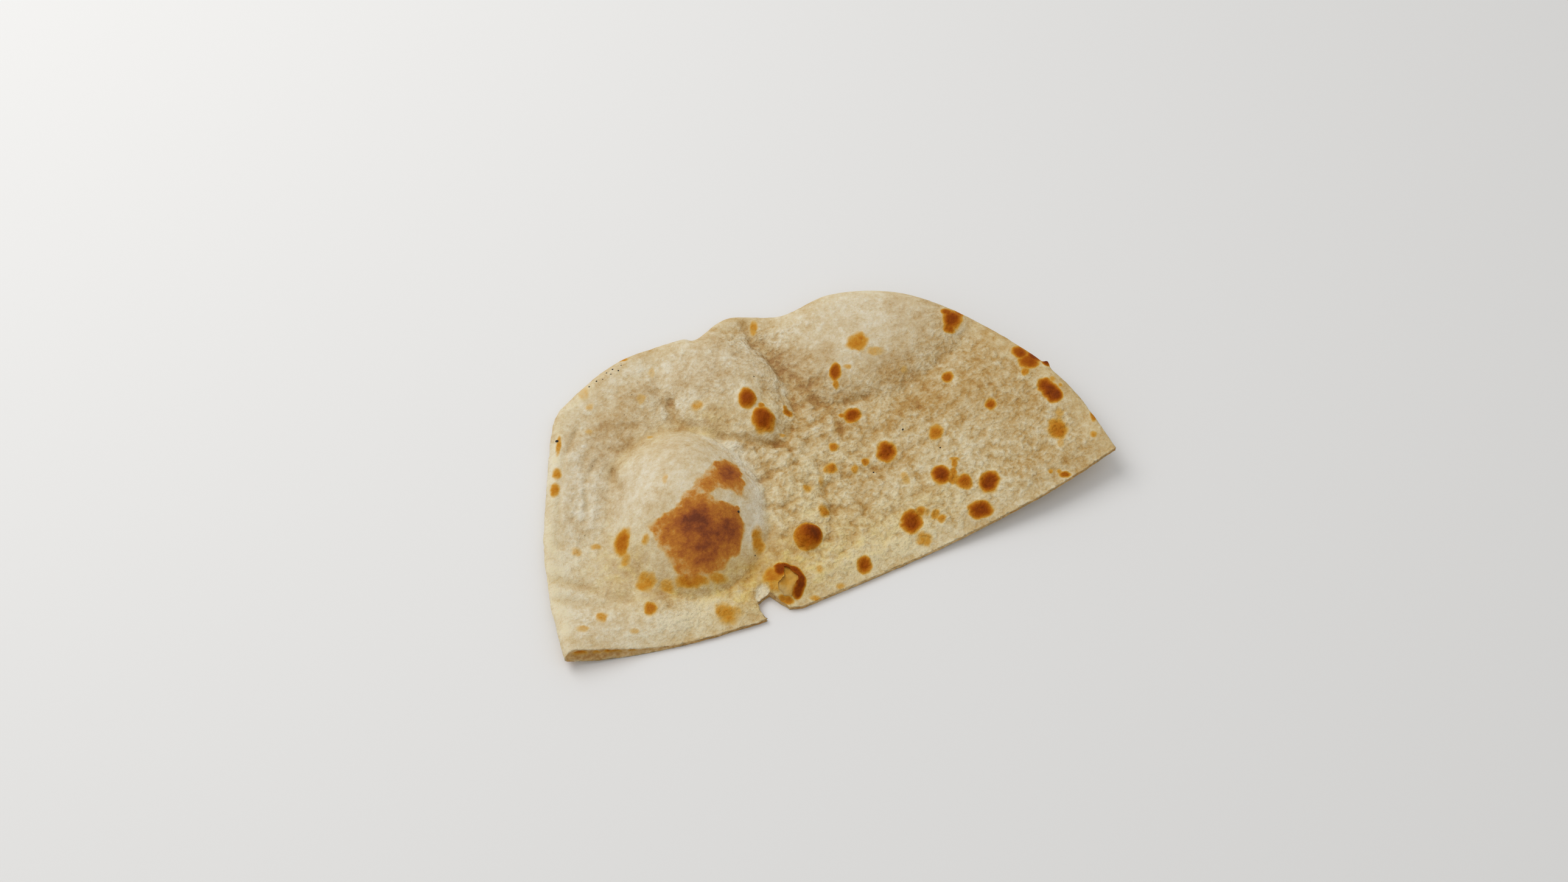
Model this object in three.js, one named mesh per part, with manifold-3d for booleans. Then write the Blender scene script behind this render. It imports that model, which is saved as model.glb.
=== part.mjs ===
// Half of a round naan, lying as it was cut: a thin flatbread with one long knife cut, a torn notch
// in that cut, a tall crown bubble, two broad pillows, small blisters and one blister that burst.
// Millimetres, +Z up. Places on the bread are measured from the left end of the cut, x along the cut
// and y towards the round edge. The finished bread is moved so that the origin lies under its middle.

import * as THREE from 'three';
import { mergeVertices } from 'three/addons/utils/BufferGeometryUtils.js';
import Module from 'manifold-3d';

const wasm = await Module();
wasm.setup();

// Driving dimensions
const CUT_LENGTH = 267.7;
const DEPTH = 143;
const THICKNESS = 3.6;
const CROWN_HEIGHT = 20;
const PILLOW_HEIGHT = 9.5;
const SHOULDER_HEIGHT = 8;

// The two skins are worked on square grids of these pitches, a little larger than the outline.
const UPPER_PITCH = 3.2;
const LOWER_PITCH = 9;
const SHEET_MARGIN = 12;
const CURVE_STEPS = 5;
const EDGE_SAMPLES = 160;

// The right end curls up off the table, and the left corner lifts a little.
const RIGHT_CURL = 10;
const RIGHT_CURL_FROM = 150;
const LEFT_CURL = 2;
const LEFT_CURL_REACH = 32;

// The knife's left corner is thicker than the rest, and the bread thins towards the cut.
const CORNER_EXTRA = 3.2;
const CORNER_REACH = [44, 32];
const CUT_THINNING = 0.9;
const CUT_THINNING_REACH = 12;

// The baked round edge is a rounded rim. Bubbles slope down to it over a wider band.
const RIM_ROUND = 7;
const RIM_WALL = 2;
const RIM_CURL = 1.2;
const RIM_CURL_BAND = 16;
const PUFF_BAND = 15;

// Outline: the ends of the cut, the points that the round edge bends through, and the two stretches
// of the cut on either side of the torn notch.
const LEFT_END = [0, -1];
const RIGHT_END = [CUT_LENGTH, -5.5];
const ROUND_EDGE = [
  [4.5, 29], [13, 61], [24.6, 88.4], [38.5, 118.7], [51, 128.5], [80, 140], [110, 140], [118, 137],
  [137, DEPTH], [161, 133.5], [187, 133.5], [215, 119.6], [237, 95.5], [254, 65.5], [265, 33],
];
const CUT_RIGHT = [[223.5, -12.5], [160, -15.5], [104, -17]];
const NOTCH = [[98.5, -12.5], [94.5, -5.5], [87.2, -7], [88.4, -15.5]];
const CUT_LEFT = [[85, -16.5], [52, -13], [17, -6]];

// Bubbles where the two skins parted in the oven: middle, reach to the left, right, front and back,
// height, and the turn of these directions in degrees. A long reach is a side that fades out.
const BUBBLES = {
  crown: { at: [78, 49], left: 38, right: 36, front: 45, back: 46, height: CROWN_HEIGHT, turn: -10 },
  shoulder: { at: [119, 104], left: 30, right: 27, front: 35, back: 46, height: SHOULDER_HEIGHT, turn: 18 },
  pillow: { at: [190, 104], left: 46, right: 60, front: 36, back: 44, height: PILLOW_HEIGHT, turn: 0 },
  leftSwell: { at: [32, 86], left: 24, right: 22, front: 40, back: 34, height: 2.4, turn: -20 },
  rearSwell: { at: [74, 122], left: 30, right: 30, front: 26, back: 28, height: 3, turn: 0 },
  rightSwell: { at: [232, 42], left: 34, right: 40, front: 34, back: 36, height: 2, turn: 0 },
  middleSwell: { at: [188, 24], left: 30, right: 32, front: 26, back: 24, height: 1.8, turn: 0 },
  frontSwell: { at: [124, 34], left: 18, right: 18, front: 28, back: 28, height: 1.4, turn: 0 },
  cornerSwell: { at: [32, 8], left: 28, right: 30, front: 20, back: 20, height: 1.6, turn: -10 },
};

// Small blisters, each a round of this radius that stands on whatever lies under it.
const BLISTERS = {
  whole: { at: [120.8, 12.6], radius: 7, height: 4 },
  burst: { at: [102.5, -2.5], radius: 10, height: 4.4 },
  upperTwin: { at: [124.3, 88.5], radius: 5.5, height: 2.2 },
  lowerTwin: { at: [126.8, 74.5], radius: 6.5, height: 2.6 },
};

// Folds where the sheet sinks between its swells: the line of each, its half width and its depth.
const FOLDS = [
  { line: [[168, 32], [143, 34], [140, 8]], halfWidth: 7, depth: 1.2 },
  { line: [[8, 39], [32, 16]], halfWidth: 5, depth: 0.9 },
  { line: [[146, 70], [166, 62], [200, 58]], halfWidth: 9, depth: 0.8 },
];

// How full the sides of a bubble are, how softly its foot ends and how sharply two bubbles meet.
const BUBBLE_FULLNESS = 2.3;
const FOOT_SOFTNESS = 1.2;
const MERGE_POWER = 4;

// The hole in the burst blister, and the level of the bread seen inside it.
const BURST_HOLE = [
  [104.7, 2], [108.3, -3], [107.4, -6.5], [104.4, -8.5], [102, -10.5], [97.4, -9], [98.2, -4], [102, -2.5],
];
const BURST_FLOOR = 3.2;

// Holes of open crumb in the thick left stretch of the cut: place along it, half width and half height.
const CRUMB_POCKETS = [
  { along: 9, halfWidth: 4.5, halfHeight: 1.1 },
  { along: 21, halfWidth: 5.5, halfHeight: 1.3 },
  { along: 34, halfWidth: 4, halfHeight: 1 },
];
const CRUMB_POCKET_DEPTH = 2.5;
const CRUMB_POCKET_SIDES = 12;

// Cobbles: the uneven crumb under the thin skin, strongest on the flat right side.
const COBBLE_SIZE = 9;
const COBBLE_HEIGHT = 0.9;

// Steps of the fixed draw that places the cobbles.
const DRAW_STEPS = new THREE.Vector3(127.1, 311.7, 74.7);
const DRAW_SPREAD = 43758.5453;

const BREAD_COLOUR = 0xd8c49a;
const BREAD_ROUGHNESS = 0.85;

const ease = (t) => THREE.MathUtils.smoothstep(t, 0, 1);
const points = (list) => list.map(([x, y]) => new THREE.Vector2(x, y));

// A closed geometry as a solid that can be joined and cut.
function toSolid(geometry) {
  geometry.deleteAttribute('normal');
  geometry.deleteAttribute('uv');
  const merged = mergeVertices(geometry);
  return new wasm.Manifold(new wasm.Mesh({
    numProp: 3,
    vertProperties: merged.attributes.position.array,
    triVerts: new Uint32Array(merged.index.array),
  }));
}

// A solid as a geometry that a mesh can carry.
function toGeometry(solid) {
  const { vertProperties, triVerts } = solid.getMesh();
  const geometry = new THREE.BufferGeometry();
  geometry.setAttribute('position', new THREE.BufferAttribute(vertProperties, 3));
  geometry.setIndex(new THREE.BufferAttribute(triVerts, 1));
  geometry.computeVertexNormals();
  return geometry;
}

// The bread's outline in plan, round the baked edge and back along the cut.
function breadOutline() {
  const outline = new THREE.Shape();
  outline.moveTo(...LEFT_END);
  outline.splineThru(points([...ROUND_EDGE, RIGHT_END]));
  outline.splineThru(points(CUT_RIGHT));
  NOTCH.forEach(([x, y]) => outline.lineTo(x, y));
  outline.splineThru(points([...CUT_LEFT, LEFT_END]));
  return outline;
}

// The same two edges as close rows of points, with the notch left out of the cut.
const edgePoints = (list) => new THREE.SplineCurve(points(list)).getPoints(EDGE_SAMPLES);
const roundEdge = edgePoints([LEFT_END, ...ROUND_EDGE, RIGHT_END]);
const cutEdge = edgePoints([RIGHT_END, ...CUT_RIGHT, ...CUT_LEFT, LEFT_END]);

const fromCut = (x, y) => Math.min(...cutEdge.map((p) => Math.hypot(p.x - x, p.y - y)));

// Distance in from the round edge, less than zero outside it.
function inFromRim(x, y) {
  const distances = roundEdge.map((p) => Math.hypot(p.x - x, p.y - y));
  const distance = Math.min(...distances);
  const here = distances.indexOf(distance);
  const before = roundEdge[Math.max(here - 1, 0)];
  const after = roundEdge[Math.min(here + 1, roundEdge.length - 1)];
  const outside = (after.x - before.x) * (y - before.y) > (after.y - before.y) * (x - before.x);
  return outside ? -distance : distance;
}

// The lower skin: how far the underside stands off the table.
function lowerSkin(x, y) {
  const right = RIGHT_CURL * ease((x - RIGHT_CURL_FROM) / (CUT_LENGTH - RIGHT_CURL_FROM));
  const left = LEFT_CURL * ease(1 - x / LEFT_CURL_REACH);
  const rim = RIM_CURL * ease(1 - inFromRim(x, y) / RIM_CURL_BAND);
  return right + left + rim;
}

// Thickness of the flat bread, without its bubbles.
function flatThickness(x, y) {
  const corner = Math.hypot((x - LEFT_END[0]) / CORNER_REACH[0], (y - LEFT_END[1]) / CORNER_REACH[1]);
  const swollen = CORNER_EXTRA * ease(1 - corner);
  const thinned = CUT_THINNING * (1 - ease(fromCut(x, y) / CUT_THINNING_REACH));
  return THICKNESS + swollen - thinned;
}

// What a bubble or blister adds, at a share r of the way from its middle to its foot.
const domeHeight = (r, height) => (r < 1 ? height * (1 - r ** BUBBLE_FULLNESS) ** FOOT_SOFTNESS : 0);

function bubbleHeight(x, y, { at, left, right, front, back, height, turn }) {
  const place = new THREE.Vector2(x, y).sub(new THREE.Vector2(...at));
  place.rotateAround(new THREE.Vector2(), -THREE.MathUtils.degToRad(turn));
  const across = place.x / (place.x < 0 ? left : right);
  const along = place.y / (place.y < 0 ? front : back);
  return domeHeight(Math.hypot(across, along), height);
}

function blisterHeight(x, y, { at, radius, height }) {
  return domeHeight(Math.hypot(x - at[0], y - at[1]) / radius, height);
}

// How deep a fold is at a point, from the distance to the nearest stretch of its line.
function foldDepth(x, y, { line, halfWidth, depth }) {
  const place = new THREE.Vector3(x, y, 0);
  const distances = line.slice(1).map((end, i) => {
    const stretch = new THREE.Line3(new THREE.Vector3(...line[i], 0), new THREE.Vector3(...end, 0));
    return stretch.closestPointToPoint(place, true, new THREE.Vector3()).distanceTo(place);
  });
  return depth * Math.exp(-((Math.min(...distances) / halfWidth) ** 2));
}

// Neighbouring bubbles meet in a valley: the higher one counts, softly.
function puff(x, y) {
  const heights = Object.values(BUBBLES).map((bubble) => bubbleHeight(x, y, bubble) ** MERGE_POWER);
  return heights.reduce((sum, h) => sum + h, 0) ** (1 / MERGE_POWER);
}

// A fixed number from 0 to 1 for each cell of a grid.
function cellDraw(i, j, k) {
  const n = Math.sin(DRAW_STEPS.dot(new THREE.Vector3(i, j, k))) * DRAW_SPREAD;
  return n - Math.floor(n);
}

// Low cobbles, one about a random point in each cell, with creases between them.
function cobble(x, y) {
  const i = Math.floor(x / COBBLE_SIZE);
  const j = Math.floor(y / COBBLE_SIZE);
  let closest = Infinity;
  for (let a = i - 1; a <= i + 1; a++) {
    for (let b = j - 1; b <= j + 1; b++) {
      const cx = (a + cellDraw(a, b, 1)) * COBBLE_SIZE;
      const cy = (b + cellDraw(a, b, 2)) * COBBLE_SIZE;
      closest = Math.min(closest, Math.hypot(x - cx, y - cy));
    }
  }
  return COBBLE_HEIGHT * (1 - (closest / COBBLE_SIZE) ** 2);
}

// The share of its height that the bread has reached at a share t of the way in from the rim.
const rimRise = (t) => Math.sin(THREE.MathUtils.clamp(t, -1, 1) * Math.PI / 2);

// The upper skin: the flat bread, its bubbles and its cobbles, all rounded off at the rim.
function upperSkin(x, y) {
  const fromRim = inFromRim(x, y);
  const rounded = rimRise(fromRim / RIM_ROUND);
  const band = rimRise(fromRim / PUFF_BAND);
  const puffed = puff(x, y);
  const blistered = Object.values(BLISTERS).reduce((sum, b) => sum + blisterHeight(x, y, b), 0);
  const folded = FOLDS.reduce((sum, fold) => sum + foldDepth(x, y, fold), 0);
  const cobbled = cobble(x, y) * (1 - ease(puffed / PILLOW_HEIGHT));
  const flat = RIM_WALL + (flatThickness(x, y) - RIM_WALL) * rounded;
  return lowerSkin(x, y) + flat + (puffed + blistered + cobbled - folded) * band;
}

// A block over the whole bread, wider than its outline, with a relief on its upper and lower faces.
function reliefBlock(pitch, upper, lower) {
  const front = CUT_RIGHT.at(-1)[1];
  const width = CUT_LENGTH + 2 * SHEET_MARGIN;
  const depth = DEPTH - front + 2 * SHEET_MARGIN;
  const columns = Math.round(width / pitch);
  const rows = Math.round(depth / pitch);
  const sheet = new THREE.BoxGeometry(width, depth, 1, columns, rows, 1);
  sheet.translate(CUT_LENGTH / 2, (DEPTH + front) / 2, 0);
  const place = sheet.attributes.position;
  for (let v = 0; v < place.count; v++) {
    const skin = place.getZ(v) > 0 ? upper : lower;
    place.setZ(v, skin(place.getX(v), place.getY(v)));
  }
  return toSolid(sheet);
}

// An upright block of the given outline between two levels.
function block(shape, bottom, top) {
  const geometry = new THREE.ExtrudeGeometry(shape, {
    depth: top - bottom, bevelEnabled: false, curveSegments: CURVE_STEPS,
  });
  geometry.translate(0, 0, bottom);
  return toSolid(geometry);
}

// A flattened ball on the cut face, which leaves an open hole of crumb there.
function crumbPocket({ along, halfWidth, halfHeight }) {
  const edge = cutEdge.reduce((best, p) => (Math.abs(p.x - along) < Math.abs(best.x - along) ? p : best));
  const ball = new THREE.SphereGeometry(1, CRUMB_POCKET_SIDES, CRUMB_POCKET_SIDES / 2);
  ball.scale(halfWidth, CRUMB_POCKET_DEPTH, halfHeight);
  ball.translate(edge.x, edge.y, (lowerSkin(edge.x, edge.y) + upperSkin(edge.x, edge.y)) / 2);
  return toSolid(ball);
}

const ceiling = CROWN_HEIGHT + RIGHT_CURL + SHEET_MARGIN;
const upperHalf = reliefBlock(UPPER_PITCH, upperSkin, () => -SHEET_MARGIN);
const lowerHalf = reliefBlock(LOWER_PITCH, () => ceiling, lowerSkin);
let bread = upperHalf.intersect(lowerHalf).intersect(block(breadOutline(), -SHEET_MARGIN, ceiling));
bread = bread.subtract(block(new THREE.Shape(points(BURST_HOLE)), BURST_FLOOR, ceiling));
CRUMB_POCKETS.forEach((pocket) => {
  bread = bread.subtract(crumbPocket(pocket));
});

const geometry = toGeometry(bread);
geometry.computeBoundingBox();
const { min, max } = geometry.boundingBox;
geometry.translate(-(min.x + max.x) / 2, -(min.y + max.y) / 2, -min.z);

const naan = new THREE.Mesh(geometry, new THREE.MeshStandardMaterial({
  color: BREAD_COLOUR, roughness: BREAD_ROUGHNESS, metalness: 0,
}));
naan.name = 'naan';

const part = new THREE.Group();
part.add(naan);

export default part;
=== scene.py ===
"""Half of a round naan as it lies after it was cut: one sheet of bread with its bubbles, scorches, torn notch
and burst blister, and the flecks of char on it. Places on the bread are in millimetres from the left end of
the cut, x along it and y towards the round edge. They go into the frame in metres as the mesh is made."""

import math

import bpy
import numpy as np
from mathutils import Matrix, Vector
from mathutils.geometry import delaunay_2d_cdt
from mathutils.kdtree import KDTree


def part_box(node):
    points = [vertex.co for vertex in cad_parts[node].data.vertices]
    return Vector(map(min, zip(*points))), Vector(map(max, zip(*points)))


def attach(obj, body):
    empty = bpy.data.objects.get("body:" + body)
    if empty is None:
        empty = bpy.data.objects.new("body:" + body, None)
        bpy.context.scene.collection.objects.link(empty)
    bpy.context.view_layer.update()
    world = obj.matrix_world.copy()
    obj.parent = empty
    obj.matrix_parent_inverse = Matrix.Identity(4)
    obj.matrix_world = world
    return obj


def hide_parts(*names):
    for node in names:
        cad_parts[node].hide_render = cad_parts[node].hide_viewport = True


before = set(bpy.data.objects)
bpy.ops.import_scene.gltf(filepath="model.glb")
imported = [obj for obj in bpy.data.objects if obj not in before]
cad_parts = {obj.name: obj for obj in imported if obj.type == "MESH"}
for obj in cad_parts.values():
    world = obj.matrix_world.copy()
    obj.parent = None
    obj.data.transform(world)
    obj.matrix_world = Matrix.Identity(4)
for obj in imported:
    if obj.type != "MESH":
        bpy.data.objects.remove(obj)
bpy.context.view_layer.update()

# The bread's outline
# A round of soft dough, pulled out by hand and baked on the oven's wall, then cut across with a knife.
# The round edge keeps the uneven rim of the pull. The cut is clean but for a notch that was torn out of it.

MM = 0.001
low_corner, high_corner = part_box("naan")
CUT_LENGTH = (high_corner.x - low_corner.x) / MM
LEFT_END = (0.0, -1.0)
RIGHT_END = (CUT_LENGTH, -5.5)
ROUND_EDGE = [
    (4.5, 29), (13, 61), (24.6, 88.4), (38.5, 118.7), (51, 128.5), (80, 140), (110, 140), (118, 137),
    (137, 143), (161, 133.5), (187, 133.5), (215, 119.6), (237, 95.5), (254, 65.5), (265, 33),
]
CUT_RIGHT = [(223.5, -12.5), (160, -15.5), (104, -17)]
NOTCH = [(99.4, -15.4), (96.6, -10.4), (94, -5.8), (87.8, -8), (87.8, -12.2), (88.6, -15.5)]
CUT_LEFT = [(85, -16.5), (52, -13), (17, -6)]
BURST_HOLE = [
    (104.8, 2.5), (106.9, 1.6), (107.4, -1), (108.4, -3.7), (107.9, -6.3), (106.1, -7.1), (104.3, -8.2),
    (102.4, -11.2), (99.4, -10), (97.8, -7), (98.4, -4.5), (101.1, -3), (102.7, -2.3), (103.5, 0.2),
]
# A burnt knob on the rim: its place and reach, how far it stands out and how far up.
KNOB, KNOB_REACH, KNOB_OUT, KNOB_RISE = (262.2, 49.6), 2.1, 1.7, 1.4
EDGE_STEP = 0.85
HOLE_STEP = 0.4
RIM_UNEVEN = 0.45
CUT_UNEVEN = 0.22
TEAR_UNEVEN = 0.5
# Layers of unevenness: the size of each, and its share.
FRAYING = [(5.0, 0.6), (1.9, 0.4)]
HOLE_UNEVEN = [(1.7, 0.3)]
# Numbers that make the draws of neighbouring cells unlike.
DRAW_STEPS, DRAW_SPREAD = (127.1, 311.7, 74.7), 43758.5453


def ease(t):
    """0 to 1 with soft ends."""
    t = np.clip(t, 0, 1)
    return t * t * (3 - 2 * t)


def fade(distance, reach):
    """1 at no distance, fading out over a reach."""
    return np.exp(-(distance / reach)**2)


def mound(x, y, middle, wide, deep):
    """1 in a middle, fading out over a reach along x and another along y."""
    return fade(x - middle[0], wide) * fade(y - middle[1], deep)


def draw(i, j, k):
    """A fixed number from 0 to 1 for each cell of a grid."""
    n = np.sin(i * DRAW_STEPS[0] + j * DRAW_STEPS[1] + k * DRAW_STEPS[2]) * DRAW_SPREAD
    return n - np.floor(n)


def ripple(x, y, size, seed):
    """Smooth unevenness from -1 to 1, its swells about that far apart. Each seed gives another one."""
    i, j = np.floor(x / size), np.floor(y / size)
    u, v = ease(x / size - i), ease(y / size - j)
    near = draw(i, j, seed) * (1 - u) + draw(i + 1, j, seed) * u
    far = draw(i, j + 1, seed) * (1 - u) + draw(i + 1, j + 1, seed) * u
    return 2 * (near * (1 - v) + far * v) - 1


def ripples(x, y, layers, seed):
    """Ripples added up. Each layer is a size and a share."""
    return sum(share * ripple(x, y, size, seed + k) for k, (size, share) in enumerate(layers))


def warped(x, y, layers, seed_x, seed_y):
    """Places moved about by ripples."""
    return x + ripples(x, y, layers, seed_x), y + ripples(x, y, layers, seed_y)


def spline(points, count=600):
    """A smooth curve through the points, as close steps."""
    p = np.asarray(points, float)
    t = np.linspace(0, len(p) - 1, count)
    i = np.minimum(t.astype(int), len(p) - 2)
    w = (t - i)[:, None]
    start, end = p[i], p[i + 1]
    lead = (end - p[np.maximum(i - 1, 0)]) / 2
    trail = (p[np.minimum(i + 2, len(p) - 1)] - start) / 2
    bend = (2 * start - 2 * end + lead + trail) * w**3 + (3 * end - 3 * start - 2 * lead - trail) * w**2
    return bend + lead * w + start


def length_along(line):
    """The length of a line up to each of its points."""
    return np.concatenate([[0], np.cumsum(np.hypot(*np.diff(line, axis=0).T))])


def even_steps(line, step):
    """Points along a line at equal steps, without its last point."""
    line = np.asarray(line, float)
    lengths = length_along(line)
    at = np.linspace(0, lengths[-1], max(int(lengths[-1] / step), 2) + 1)[:-1]
    return np.stack([np.interp(at, lengths, line[:, 0]), np.interp(at, lengths, line[:, 1])], 1)


def sideways(loop):
    """The direction to the left of travel at each point of a closed loop."""
    along = np.roll(loop, -1, 0) - np.roll(loop, 1, 0)
    along /= np.hypot(*along.T)[:, None]
    return np.stack([-along[:, 1], along[:, 0]], 1)


round_edge = spline([LEFT_END, *ROUND_EDGE, RIGHT_END])
cut_edge = spline([RIGHT_END, *CUT_RIGHT, *CUT_LEFT, LEFT_END])
stretches = [
    (even_steps(round_edge, EDGE_STEP), RIM_UNEVEN),
    (even_steps(spline([RIGHT_END, *CUT_RIGHT]), EDGE_STEP), CUT_UNEVEN),
    (even_steps([CUT_RIGHT[-1], *NOTCH], HOLE_STEP), TEAR_UNEVEN),
    (even_steps(spline([NOTCH[-1], *CUT_LEFT, LEFT_END]), EDGE_STEP), CUT_UNEVEN),
]
outline = np.concatenate([points for points, _ in stretches])
unevenness = np.concatenate([np.full(len(points), amount) for points, amount in stretches])
is_rim = np.arange(len(outline)) < len(stretches[0][0])
outline_out = sideways(outline)
frayed = ripples(*outline.T, FRAYING, 31)
to_frame = np.array([low_corner.x / MM - outline[:, 0].min(), low_corner.y / MM - outline[:, 1].min()])
knob = mound(*outline.T, KNOB, KNOB_REACH, KNOB_REACH)
outline = outline + outline_out * (unevenness * (frayed - 1) + KNOB_OUT * knob)[:, None]
hole = even_steps(BURST_HOLE + BURST_HOLE[:1], HOLE_STEP)
hole = hole + sideways(hole) * ripples(*hole.T, HOLE_UNEVEN, 33)[:, None]

# The bread's form
# The sheet is a few millimetres thick and lies flat, with its right end curled up off the table. Steam has
# parted its skins into a tall crown bubble, two broad pillows and small blisters, one of which burst.
# Between them it sinks into folds, and its skin is cobbled by the crumb under it.

THICKNESS = 3.6
RIGHT_CURL, RIGHT_CURL_FROM = 10.0, 150.0
LEFT_CURL, LEFT_CURL_REACH = 2.0, 32.0
CORNER_EXTRA, CORNER_REACH, CORNER_SPARED = 3.2, (44.0, 32.0), (1, 1 / 3)
CUT_THINNING, CUT_THINNING_REACH = 1.8, 12.0
RIM_ROUND, RIM_WALL = 5.0, 1.9
RIM_CURL, RIM_CURL_BAND = 1.2, 16.0
PUFF_BAND = 13.0
CROWN_HEIGHT, PILLOW_HEIGHT, SHOULDER_HEIGHT = 20.0, 9.5, 8.0
BUBBLE_FULLNESS, FOOT_SOFTNESS, MERGE_POWER = 2.3, 1.2, 4.0

# Each bubble: middle, reach to the left, right, front and back, height, and turn in degrees.
BUBBLES = {
    "crown": ((78, 49), (38, 36, 45, 46), CROWN_HEIGHT, -10),
    "shoulder": ((119, 104), (30, 27, 35, 46), SHOULDER_HEIGHT, 18),
    "pillow": ((190, 104), (46, 60, 36, 44), PILLOW_HEIGHT, 0),
    "twin_lobe": ((126, 84), (24, 19, 16, 20), 6.2, 20),
    "left_swell": ((32, 86), (24, 22, 40, 34), 2.4, -20),
    "rear_swell": ((74, 122), (30, 30, 26, 28), 3.0, 0),
    "right_swell": ((232, 42), (34, 40, 34, 36), 2.0, 0),
    "middle_swell": ((188, 24), (30, 32, 26, 24), 1.8, 0),
    "front_swell": ((124, 34), (18, 18, 28, 28), 1.4, 0),
    "corner_swell": ((32, 8), (28, 30, 20, 20), 1.6, -10),
}
# Each blister: middle, radius, height.
BLISTERS = {
    "whole": ((121, 13), 7.0, 4.4),
    "burst": ((102.5, -2.5), 10.0, 4.4),
    "upper_twin": ((124.9, 90.2), 5.8, 1.8),
    "lower_twin": ((127.6, 77.5), 6.8, 2.0),
}
# Each fold: the line where the sheet sinks, its half width and its depth.
FOLDS = [
    ([(168, 32), (143, 34), (140, 8)], 7.0, 1.2),
    ([(4, 40), (11, 38), (20, 31), (26.8, 20.9), (36, 17)], 3.4, 1.4),
    ([(7, 26), (14, 21), (22, 17), (30, 16)], 3.4, 1.1),
    ([(161, 75), (181, 69), (205, 66)], 7.0, 0.6),
    ([(143, 135), (143, 126), (145.6, 116.6), (146.6, 105.3), (150, 95.7)], 3.2, 2.6),
    ([(150, 95.7), (147.9, 87.6), (145.9, 76.9), (144, 71.3)], 2.4, 1.4),
    ([(150, 96), (153.7, 87.9), (156.7, 81.3), (161.5, 75.2), (171, 71.9), (178, 72)], 2.0, 1.8),
    ([(55.9, 84.4), (53.5, 78.9), (52.3, 70.4)], 1.4, 1.5),
    ([(49, 90), (44, 85), (40, 81)], 1.6, 1.1),
    ([(44, 94), (41, 86), (38, 76), (36, 68)], 1.4, 0.9),
    ([(54.2, 97.3), (62.3, 92.6), (67.1, 93.9)], 1.8, 0.8),
    ([(50, 110), (62.7, 105.1), (73.7, 100.5)], 2.4, 0.4),
    ([(93.4, 108), (92, 103), (92, 98), (94.4, 93.6), (98.2, 89.3), (108.9, 78.7)], 2.0, 1.7),
    ([(108.9, 78.7), (119.4, 71.8), (129.1, 67.1), (135.8, 67), (140, 71.9)], 1.8, 1.9),
    ([(98, 13.2), (90.4, 4.3), (79, 4.3), (66, 6.5), (51.6, 13.7), (41.3, 20.7)], 3.0, 0.8),
    ([(47, 110), (40.6, 102.7), (35.8, 96.2), (32.7, 89.1), (25.4, 71.6), (18, 54)], 1.8, 0.7),
]
WARP = [(21.0, 2.0)]
HOLLOW_REACH, HOLLOW_STEPS = 5.0, 8
# The cobbles come in three sizes. The two larger are strongest on the flat skin right of the crown.
COBBLE_SIZES = (9.0, 4.6, 2.4)
COBBLE_HEIGHTS = (2.6, 1.9, 0.4)
COBBLE_MEAN, COBBLE_WARP = 0.6, [(3.0, 1.0)]
COARSE_MIDDLE, COARSE_REACH, COARSE_LEAST = (132, 38), 45.0, 0.4
FINE_STRENGTH, FINE_SWAY = 0.7, [(24.0, 0.3)]
# Where the skin is lumpy. A pair says where that starts and where it is full.
LUMPY_ALONG, LUMPY_LEFT = (92, 122), 0.4
LUMPY_FRONT_ALONG, LUMPY_FRONT_DEEP, LUMPY_FRONT = (32, 47), (18, 6), 0.85
LUMPY_BEHIND, LUMPY_BEHIND_REACH = (104, 106), (28, 22)
LUMPY_BEHIND_CROWN, LUMPY_BEHIND_GAIN = (0.95, 1.15), 0.45
BUBBLE_SMOOTHING, CUT_SMOOTHING, CUT_FLATTENING = 0.8, 0.5, 0.8
SMOOTH_RIM, LUMPY_RIM = 6.0, 0.3
# Low swells in layers, fine wrinkles in the dry skin on the left, and pleats behind the crown's foot.
SWELLS, SWELL_HEIGHT, SWELL_LEAST = [(26.0, 1.0), (13.0, 0.6)], 0.75, 0.4
WRINKLE_HEIGHT, WRINKLE_STEP, WRINKLE_LENGTH = 0.3, 2.0, 24.0
WRINKLE_SLANT, SLANTED_SIZE = 0.35, 0.7
WRINKLED_ALONG, WRINKLED_DEEP, WRINKLED_CROWN, WRINKLED_RIM = (58, 42), (34, 59), (0.9, 1.15), (6, 10)
PLEAT_HEIGHT, PLEATS_ROUND, PLEATS_OUT = 0.8, 9.0, 2.0
PLEAT_SHARE, PLEAT_WIDTH, PLEATED_DEEP = 1.02, 0.12, (70, 82)
# How strongly the creases between cobbles, the folds, the wrinkles and the pleats show in the colour: painted
# shade in the creases, folds and grooves, and painted light on cobble tops and on wrinkle and pleat ridges.
CREASE_SHADE_SHARES, CREASE_SHADE_LEVEL = (0.8, 1.1, 0.35), 0.8
FOLD_SHADE, FOLD_SHADE_MOST, WRINKLE_SHADE, PLEAT_SHADE = 0.25, 1.4, 0.16, 0.2
TORN_CRUMB = [(92.9, 0), (95, -4.7), (92.9, -6.6), (89.5, -8.9), (87.6, -8.5), (87.2, -5), (89.5, -1.3)]
TORN_DEPTH, TORN_EDGE, TORN_UNEVEN = 1.3, 1.6, [(1.5, 0.3)]


def soft_step(value, start, end):
    """0 before start, 1 past end, soft between. The end may be the lower of the two."""
    return ease((value - start) / (end - start))


def at_least(low, share):
    """A share from 0 to 1, raised to run from low to 1."""
    return low + (1 - low) * share


def nearest(points):
    """A function that gives the distance from places to the nearest of the points."""
    tree = KDTree(len(points))
    for i, (x, y) in enumerate(points):
        tree.insert((x, y, 0), i)
    tree.balance()
    return lambda x, y: np.array([tree.find((a, b, 0))[2] for a, b in zip(x, y)])


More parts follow.
